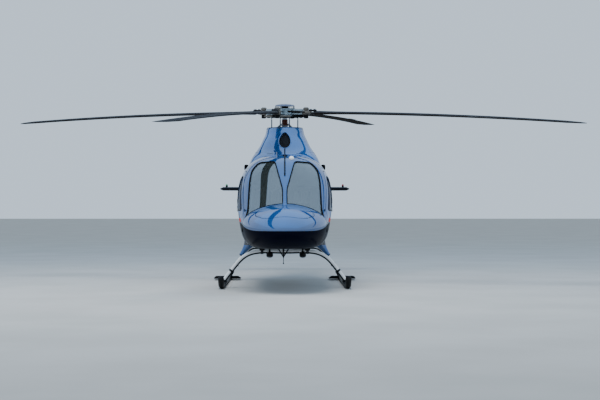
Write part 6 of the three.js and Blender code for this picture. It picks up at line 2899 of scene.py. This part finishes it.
    def _controls(self, shop: Workshop) -> None:
        """Both pilots' sticks, collective levers and pedals.

        Args:
            shop: the workshop.
        """
        gear = Builder()
        for side in (-1.0, 1.0):
            x = side * self.crew[0]
            move = np.array([x, 0.0, 0.0])
            gear.tube(curve(np.array(self.stick) + move, 30), 0.011, 14)
            gear.tube(curve(np.array(self.grip) + move, 12), np.array(self.grip_radii), 18, 1)
            gear.turned(self.boot, (x, -2.30, self.floor), sides=24, slot=1)
            radii = np.r_[np.full(9, 0.012), np.full(7, 0.019)]
            gear.tube(curve(np.array(self.lever) + move, 16), radii, 16, 1)
            gear.block((x - 0.282, -2.02, self.floor + 0.001), (x - 0.238, -1.93, 0.905), 0.008, 1)
            for foot in (-0.10, 0.10):
                gear.tube(curve(np.array(self.pedal) + move + np.array([foot, 0.0, 0.0]), 10), 0.010, 12)
                plate = oblong(0.042, 0.03, 0.01, 4, 9.0)
                axes = ((1, 0, 0), (0, 0.45, 0.9))
                gear.prism(plate, -0.006, 0.006, axes, (x + foot, -2.895, 0.955), 0.002, 1)
        shop.piece(gear, "flight_controls", ["bare_steel", "black_plastic"])


@dataclass
class Fittings:
    """Lamps, wire cutters, scoops, antennas and the small probe on the roof."""

    hull: Hull
    # Columns: radius, height
    lamp: tuple = (
        (0.040, 0.012), (0.050, 0.020), (0.0565, 0.040), (0.057, 0.050), (0.0545, 0.054), (0.0565, 0.060),
        (0.0545, 0.066), (0.0555, 0.072), (0.052, 0.080), (0.038, 0.096), (0.020, 0.106), (0.016, 0.112),
        (0.016, 0.160), (0, 0.162), (0, 0.014),
    )
    lens: tuple = ((0, 0.0005), (0.014, 0.0012), (0.028, 0.0045), (0.040, 0.012), (0.040, 0.018), (0, 0.018))
    bezel: tuple = ((0.039, 0.009), (0.0455, 0.013), (0.048, 0.020), (0.040, 0.021))
    flange: tuple = ((0, -0.006), (0.022, -0.006), (0.022, 0.0), (0.014, 0.004), (0, 0.004))
    ball: tuple = (
        (0, -0.012), (0.007, -0.0095), (0.011, -0.004), (0.012, 0.0), (0.011, 0.004), (0.007, 0.0095),
        (0, 0.012),
    )
    probe: tuple = (
        (0, -0.010), (0.013, -0.010), (0.013, 0.004), (0.006, 0.008), (0.0045, 0.030), (0.0045, 0.075),
        (0.003, 0.080), (0, 0.080),
    )
    # Columns: y, z, radius
    upper_blade: tuple = (
        (-2.400, 1.832, 0.01), (-2.418, 1.900, 0.01), (-2.080, 2.119, 0.06), (-1.780, 2.224, 0.06),
        (-1.690, 2.338, 0.014), (-1.590, 2.346, 0.014), (-1.482, 2.180, 0.01),
    )
    lower_blade: tuple = (
        (-2.618, 0.685, 0.01), (-2.540, 0.522, 0.012), (-2.482, 0.522, 0.012), (-2.442, 0.685, 0.01),
    )
    cutter_at: tuple = (-0.022, -2.50, 0.530)
    # The scoop's middle: x and z, half its width and half its height
    scoop: tuple = (0.673, 2.038, 0.0385, 0.0525)
    # Columns: x, y, z
    scoop_stalk: tuple = ((0.674, -0.700, 2.00), (0.684, -0.700, 1.95), (0.700, -0.700, 1.885))
    # Columns: leading edge x, y, z, chord, thickness
    belly_blade: tuple = ((0.0, 1.05, 0.80, 0.12, 0.014), (0.0, 1.09, 0.62, 0.07, 0.008))

    def build(self, shop: Workshop) -> None:
        """Makes every piece.

        Args:
            shop: the workshop.
        """
        for side, x in ((Side.RIGHT, -0.250), (Side.LEFT, 0.297)):
            self._belly_lamp(shop, side, x)
            self._scoop(shop, side)
        self._upper_cutter(shop)
        self._lower_cutter(shop)
        self._dome(shop)
        self._small(shop)

    def _belly_lamp(self, shop: Workshop, side: Side, x: float) -> None:
        """A round lamp under the belly: a ribbed housing on a stalk, with a bezel and a domed lens.

        Args:
            shop: the workshop.
            side: which side.
            x: the lamp's place across the machine.
        """
        lamp = Builder()
        at = (x, -2.20, 0.503)
        lamp.turned(self.lamp, at, sides=44)
        lamp.turned(self.lens, at, sides=40, slot=1)
        lamp.turned(self.bezel, at, sides=44, slot=2)
        shop.piece(lamp, f"landing_lamp_{side.word}", ["black_coating", "lamp_glass", "bare_steel"],
                   replaces=[f"belly_lamp_{side.word}"])

    def _scoop(self, shop: Workshop, side: Side) -> None:
        """An air scoop above the doors: rounded sections that grow to the front, open there, on a stalk.

        Args:
            shop: the workshop.
            side: which side.
        """
        x, z, wide, tall = self.scoop
        t = np.linspace(0.0, 1.0, 18)[:, None]
        cosine, sine = squared(circle(40), 0.55)
        across = wide * np.sqrt(np.maximum(1 - (np.maximum(t - 0.45, 0) / 0.56) ** 2, 0.01))
        upward = tall * np.sqrt(np.maximum(1 - (np.maximum(t - 0.30, 0) / 0.72) ** 2, 0.01))

        def shell(rows: int, wall: float) -> Array:
            """The first rows of the scoop's surface, some way inside it."""
            y = np.broadcast_to(-0.772 + 0.130 * t[:rows], (rows, 40))
            return np.stack([x + (across[:rows] - wall) * cosine, y, z + (upward[:rows] - wall) * sine], -1)

        scoop = Builder()
        scoop.sheet(np.concatenate([shell(9, 0.003)[::-1], shell(18, 0.0)]), wrap=True, ends=True)
        scoop.tube(curve(self.scoop_stalk, 10), np.linspace(0.013, 0.014, 10), 16)
        scoop.flip(side)
        shop.piece(scoop, f"air_scoop_{side.word}", ["dark_paint"], replaces=[f"scoop_{side.word}"])

    def _upper_cutter(self, shop: Workshop) -> None:
        """The upper wire cutter: a rail down the centre post and a blade over the roof.

        Args:
            shop: the workshop.
        """
        cutter = Builder()
        cutter.prism(whole(self.upper_blade, 6), -0.0115, 0.0115, SIDE_PLANE, bevel=0.005)
        y = np.linspace(-2.36, -1.86, 8)
        z = np.interp(y, [-2.40, -2.08, -1.78], [1.885, 2.085, 2.19])
        for side in (-1, 1):
            heads = np.stack([np.full(8, side * 0.0115), y, z], 1)
            cutter.studs(heads, np.tile([[float(side), 0, 0]], (8, 1)), 0.007, 0.003, 1)
            cutter.block((side * 0.012 - 0.002, -1.66, 2.205), (side * 0.034, -1.50, 2.232), 0.002)
        shop.piece(cutter, "upper_cutter_blade", ["black_coating", "fastener"],
                   replaces=["upper_wire_cutter"])

    def _lower_cutter(self, shop: Workshop) -> None:
        """The lower wire cutter with its two braces, and the whip with a ball end below it.

        Args:
            shop: the workshop.
        """
        cutter = Builder()
        x, y, z = self.cutter_at
        cutter.prism(whole(self.lower_blade, 6), -0.0135, 0.0135, SIDE_PLANE, (x, 0, 0), 0.005)
        for side in (-1, 1):
            cutter.tube(np.linspace((x, y, z), (x + side * 0.101, y, 0.690), 8), 0.0105, 14)
            cutter.turned(self.flange, (x + side * 0.098, y, 0.684), (side * 0.3, 0, -1), 20)
        cutter.tube(np.linspace((x, y, z), (x, y, 0.425), 10), np.linspace(0.006, 0.0045, 10), 12)
        cutter.turned(self.ball, (x, y, 0.425), sides=24)
        heads = np.array([[x, y - 0.011, z], [x, y - 0.0105, z + 0.06]])
        cutter.studs(heads, np.array([[0, -1.0, 0], [0, -1.0, 0]]), 0.008, 0.004, 1)
        shop.piece(cutter, "lower_cutter_blade", ["black_coating", "fastener"],
                   replaces=["lower_wire_cutter"])

    def _dome(self, shop: Workshop) -> None:
        """The white antenna dome on the roof.

        Args:
            shop: the workshop.
        """
        dome = Builder()
        turn = np.linspace(0.0, math.pi / 2, 14)
        cap = [(0.0445 * math.cos(a) ** 0.85, 0.002 + 0.0455 * math.sin(a)) for a in turn[:-1]]
        dome.turned([(0, -0.055), (0.0445, -0.055), *cap, (0.0, 0.0478)], (0.113, -1.88, 2.152), sides=44)
        shop.piece(dome, "roof_antenna", ["white_plastic"], replaces=["antenna_dome"])

    def _small(self, shop: Workshop) -> None:
        """A temperature probe before the fairing, and two drain pipes and a blade antenna under the belly.

        Args:
            shop: the workshop.
        """
        small = Builder()
        station = np.array([-1.72])
        root = self.hull.point(station, self.hull.upper(station, np.array([-0.135])))[0]
        small.turned(self.probe, root, sides=18)
        for x, y in ((-0.12, 0.30), (0.10, 0.42)):
            small.tube(np.linspace((x, y, 0.70), (x, y + 0.02, 0.625), 5), 0.008, 12)
        small.sheet(wing(self.belly_blade, (1, 0, 0), 8, 4), wrap=True, ends=True, slot=1)
        shop.piece(small, "small_probes", ["bare_steel", "white_plastic"])


@dataclass
class Studio:
    """The floor, the lights, the sky and the camera."""

    mast_y: float
    picture_width: int = 600
    picture_height: int = 400
    focal_px: float = 1450.0
    hub_distance: float = 26.2
    eye_height: float = 1.346
    axis_px: float = 284.8
    horizon_px: float = 207.0
    sensor_mm: float = 36.0
    floor_half: float = 140.0
    floor_dark: tuple = (0.37, 0.37, 0.355)
    floor_light: tuple = (0.41, 0.41, 0.395)
    sky: tuple = (0.67, 0.81, 0.96)
    sky_strength: float = 1.05
    lamp_size: float = 9.0
    lamp_watts: float = 2600.0
    lamp_at: tuple = (-2.0, -4.0, 14.0)
    lamp_turn: tuple = (-14.0, -8.0, 0.0)
    panel_size: float = 30.0
    panel_watts: float = 1300.0
    panel_colour: tuple = (0.02, 0.42, 1.0)
    panel_at: tuple = (0.0, 4.0, 16.0)

    def build(self) -> None:
        """Makes all of it."""
        self._camera()
        self._floor()
        self._lights()

    def _camera(self) -> None:
        """The camera stands on the machine's centre plane, turned a little to its right and up."""
        data = bpy.data.cameras.new("camera")
        data.sensor_width = self.sensor_mm
        data.lens = self.focal_px / self.picture_width * self.sensor_mm
        data.clip_end = 1000.0
        camera = bpy.data.objects.new("camera", data)
        camera.location = (0.0, self.mast_y - self.hub_distance, self.eye_height)
        right = math.atan((self.picture_width / 2 - self.axis_px) / self.focal_px)
        up = math.atan((self.horizon_px - self.picture_height / 2) / self.focal_px)
        camera.rotation_euler = (math.pi / 2 + up, 0.0, -right)
        bpy.context.scene.collection.objects.link(camera)
        bpy.context.scene.camera = camera

    def _floor(self) -> None:
        """A plain pale floor."""
        n = Nodes("floor")
        colour = n.mix(n.noise(0.6, 3.0).step(0.3, 0.7), self.floor_dark, self.floor_light)
        material = n.surface(Base_Color=colour, Roughness=0.9)
        builder = Builder()
        corners = self.floor_half * np.array([[-1, -1, 0], [1, -1, 0], [1, 1, 0], [-1, 1, 0]])
        builder.add(corners, [[0, 1, 2, 3]])
        builder.build("floor", [material])

    def _lights(self) -> None:
        """A pale sky, a large soft lamp overhead, and a wide blue panel mirrored in nose and glass."""
        world = bpy.data.worlds.new("sky")
        world.use_nodes = True
        background = world.node_tree.nodes["Background"]
        background.inputs["Color"].default_value = (*self.sky, 1.0)
        background.inputs["Strength"].default_value = self.sky_strength
        bpy.context.scene.world = world
        lamp = self._lamp("overhead", self.lamp_size, self.lamp_watts, self.lamp_at)
        lamp.data.shape = "DISK"
        lamp.rotation_euler = np.radians(self.lamp_turn)
        lamp.visible_glossy = False
        self._lamp("panel", self.panel_size, self.panel_watts, self.panel_at).data.color = self.panel_colour

    def _lamp(self, name: str, size: float, watts: float, at: Sequence[float]) -> bpy.types.Object:
        """A flat lamp that shines down, at a place before or behind the mast.

        Args:
            name: its name.
            size: its width.
            watts: its power.
            at: x, y from the mast, and z.

        Returns:
            The lamp.
        """
        data = bpy.data.lights.new(name, "AREA")
        data.size = size
        data.energy = watts
        lamp = bpy.data.objects.new(name, data)
        lamp.location = (at[0], self.mast_y + at[1], at[2])
        bpy.context.scene.collection.objects.link(lamp)
        return lamp


def finishes() -> dict:
    """Every finish by name.

    Returns:
        The materials.
    """
    described = {
        # The blue paint also paints a near-black reflection of the ground and painted shade low on the nose
        # and forward flanks
        "blue_paint": Paint(),
        "dark_paint": Satin("navy paint", (0.002, 0.003, 0.007), 0.45, coat=0.06, dust=0.01, ior=1.12),
        "white_paint": Satin("white paint", (0.78, 0.79, 0.80), 0.35, coat=0.4),
        "grey_paint": Satin("grey paint", (0.055, 0.070, 0.125), 0.4, coat=0.2, dust=0.03),
        # The black coating also serves as painted shade under the cross tubes and behind the inlet guard
        "black_coating": Satin("black coating", (0.006, 0.006, 0.007), 0.5, dust=0.04, ior=1.25),
        "blade_coating": Satin("blade coating", (0.012, 0.014, 0.018), 0.7, dust=0.03, ior=1.12),
        "blade_under": Satin("blade underside", (0.030, 0.024, 0.020), 0.75, dust=0.04, ior=1.1),
        "edge_strip": Satin("edge strip", (0.030, 0.033, 0.038), 0.55, metallic=0.3, dust=0.03, ior=1.15),
        "hub_metal": Satin("hub arms", (0.33, 0.42, 0.48), 0.3, metallic=0.6, dust=0.04),
        "bare_steel": Satin("steel", (0.42, 0.45, 0.50), 0.32, metallic=0.9),
        "cast_metal": Satin("cast metal", (0.26, 0.28, 0.30), 0.5, metallic=0.75),
        "grip_metal": Satin("grip casting", (0.13, 0.120, 0.105), 0.5, metallic=0.5),
        "boot_rubber": Satin("mast boot", (0.10, 0.028, 0.018), 0.6),
        "seat_leather": Satin("seat leather", (0.36, 0.33, 0.29), 0.6),
        "black_plastic": Satin("black plastic", (0.012, 0.012, 0.013), 0.5, dust=0.06, ior=1.3),
        "white_plastic": Satin("white plastic", (0.8, 0.8, 0.78), 0.3, coat=0.5),
        "trim_cloth": Satin("headliner", (0.33, 0.33, 0.32), 0.85, grain=500.0, bump=0.3),
        "trim_plastic": Satin("door lining", (0.18, 0.18, 0.18), 0.6),
        "belt": Satin("belt webbing", (0.05, 0.05, 0.055), 0.8, grain=700.0, bump=0.35),
        "screen": Satin("dark screens", (0.004, 0.005, 0.007), 0.12, coat=1.0, dust=0.02),
        "rubber": Satin("rubber", (0.004, 0.004, 0.005), 0.6, dust=0.02, ior=1.2),
        "fastener": Satin("screw heads", (0.06, 0.07, 0.09), 0.35, metallic=0.7),
        "soot": Satin("sooty steel", (0.012, 0.011, 0.010), 0.8, dust=0.03, ior=1.2),
        "lamp_red": Satin("red lens", (0.35, 0.01, 0.01), 0.1, coat=1.0),
        "lamp_green": Satin("green lens", (0.01, 0.22, 0.06), 0.1, coat=1.0),
        "lamp_glass": Satin("lamp glass", (0.05, 0.045, 0.04), 0.12, coat=1.0),
        "glazing": Glazing(),
        "side_glazing": Glazing("side glazing", (0.010, 0.022, 0.060), 0.82, 0.0, 1.03),
    }
    return {name: finish.build() for name, finish in described.items()}


def main() -> None:
    """Builds everything in order."""
    logging.basicConfig(level=logging.INFO, format="%(message)s")
    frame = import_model()
    mast = next(j for j in frame["joints"] if j["name"] == "main_rotor_turn")
    mast_y = mast["pos_m"][1]
    Studio(mast_y).build()
    dresses = finishes()
    shop = Workshop(dresses, mast_y)
    Body(Hull()).build(shop)
    UpperWorks(Pylon(), Cowl()).build(shop)
    Tail().build(shop)
    MainRotor().build(shop)
    SkidGear().build(shop)
    Interior().build(shop)
    Fittings(Hull()).build(shop)
    for part in frame["record"]["subparts"]:
        node = frame["nodes"][part["node"]]
        node.data.materials.clear()
        node.data.materials.append(dresses[part["material_slot"]])


if __name__ == "__main__":
    main()
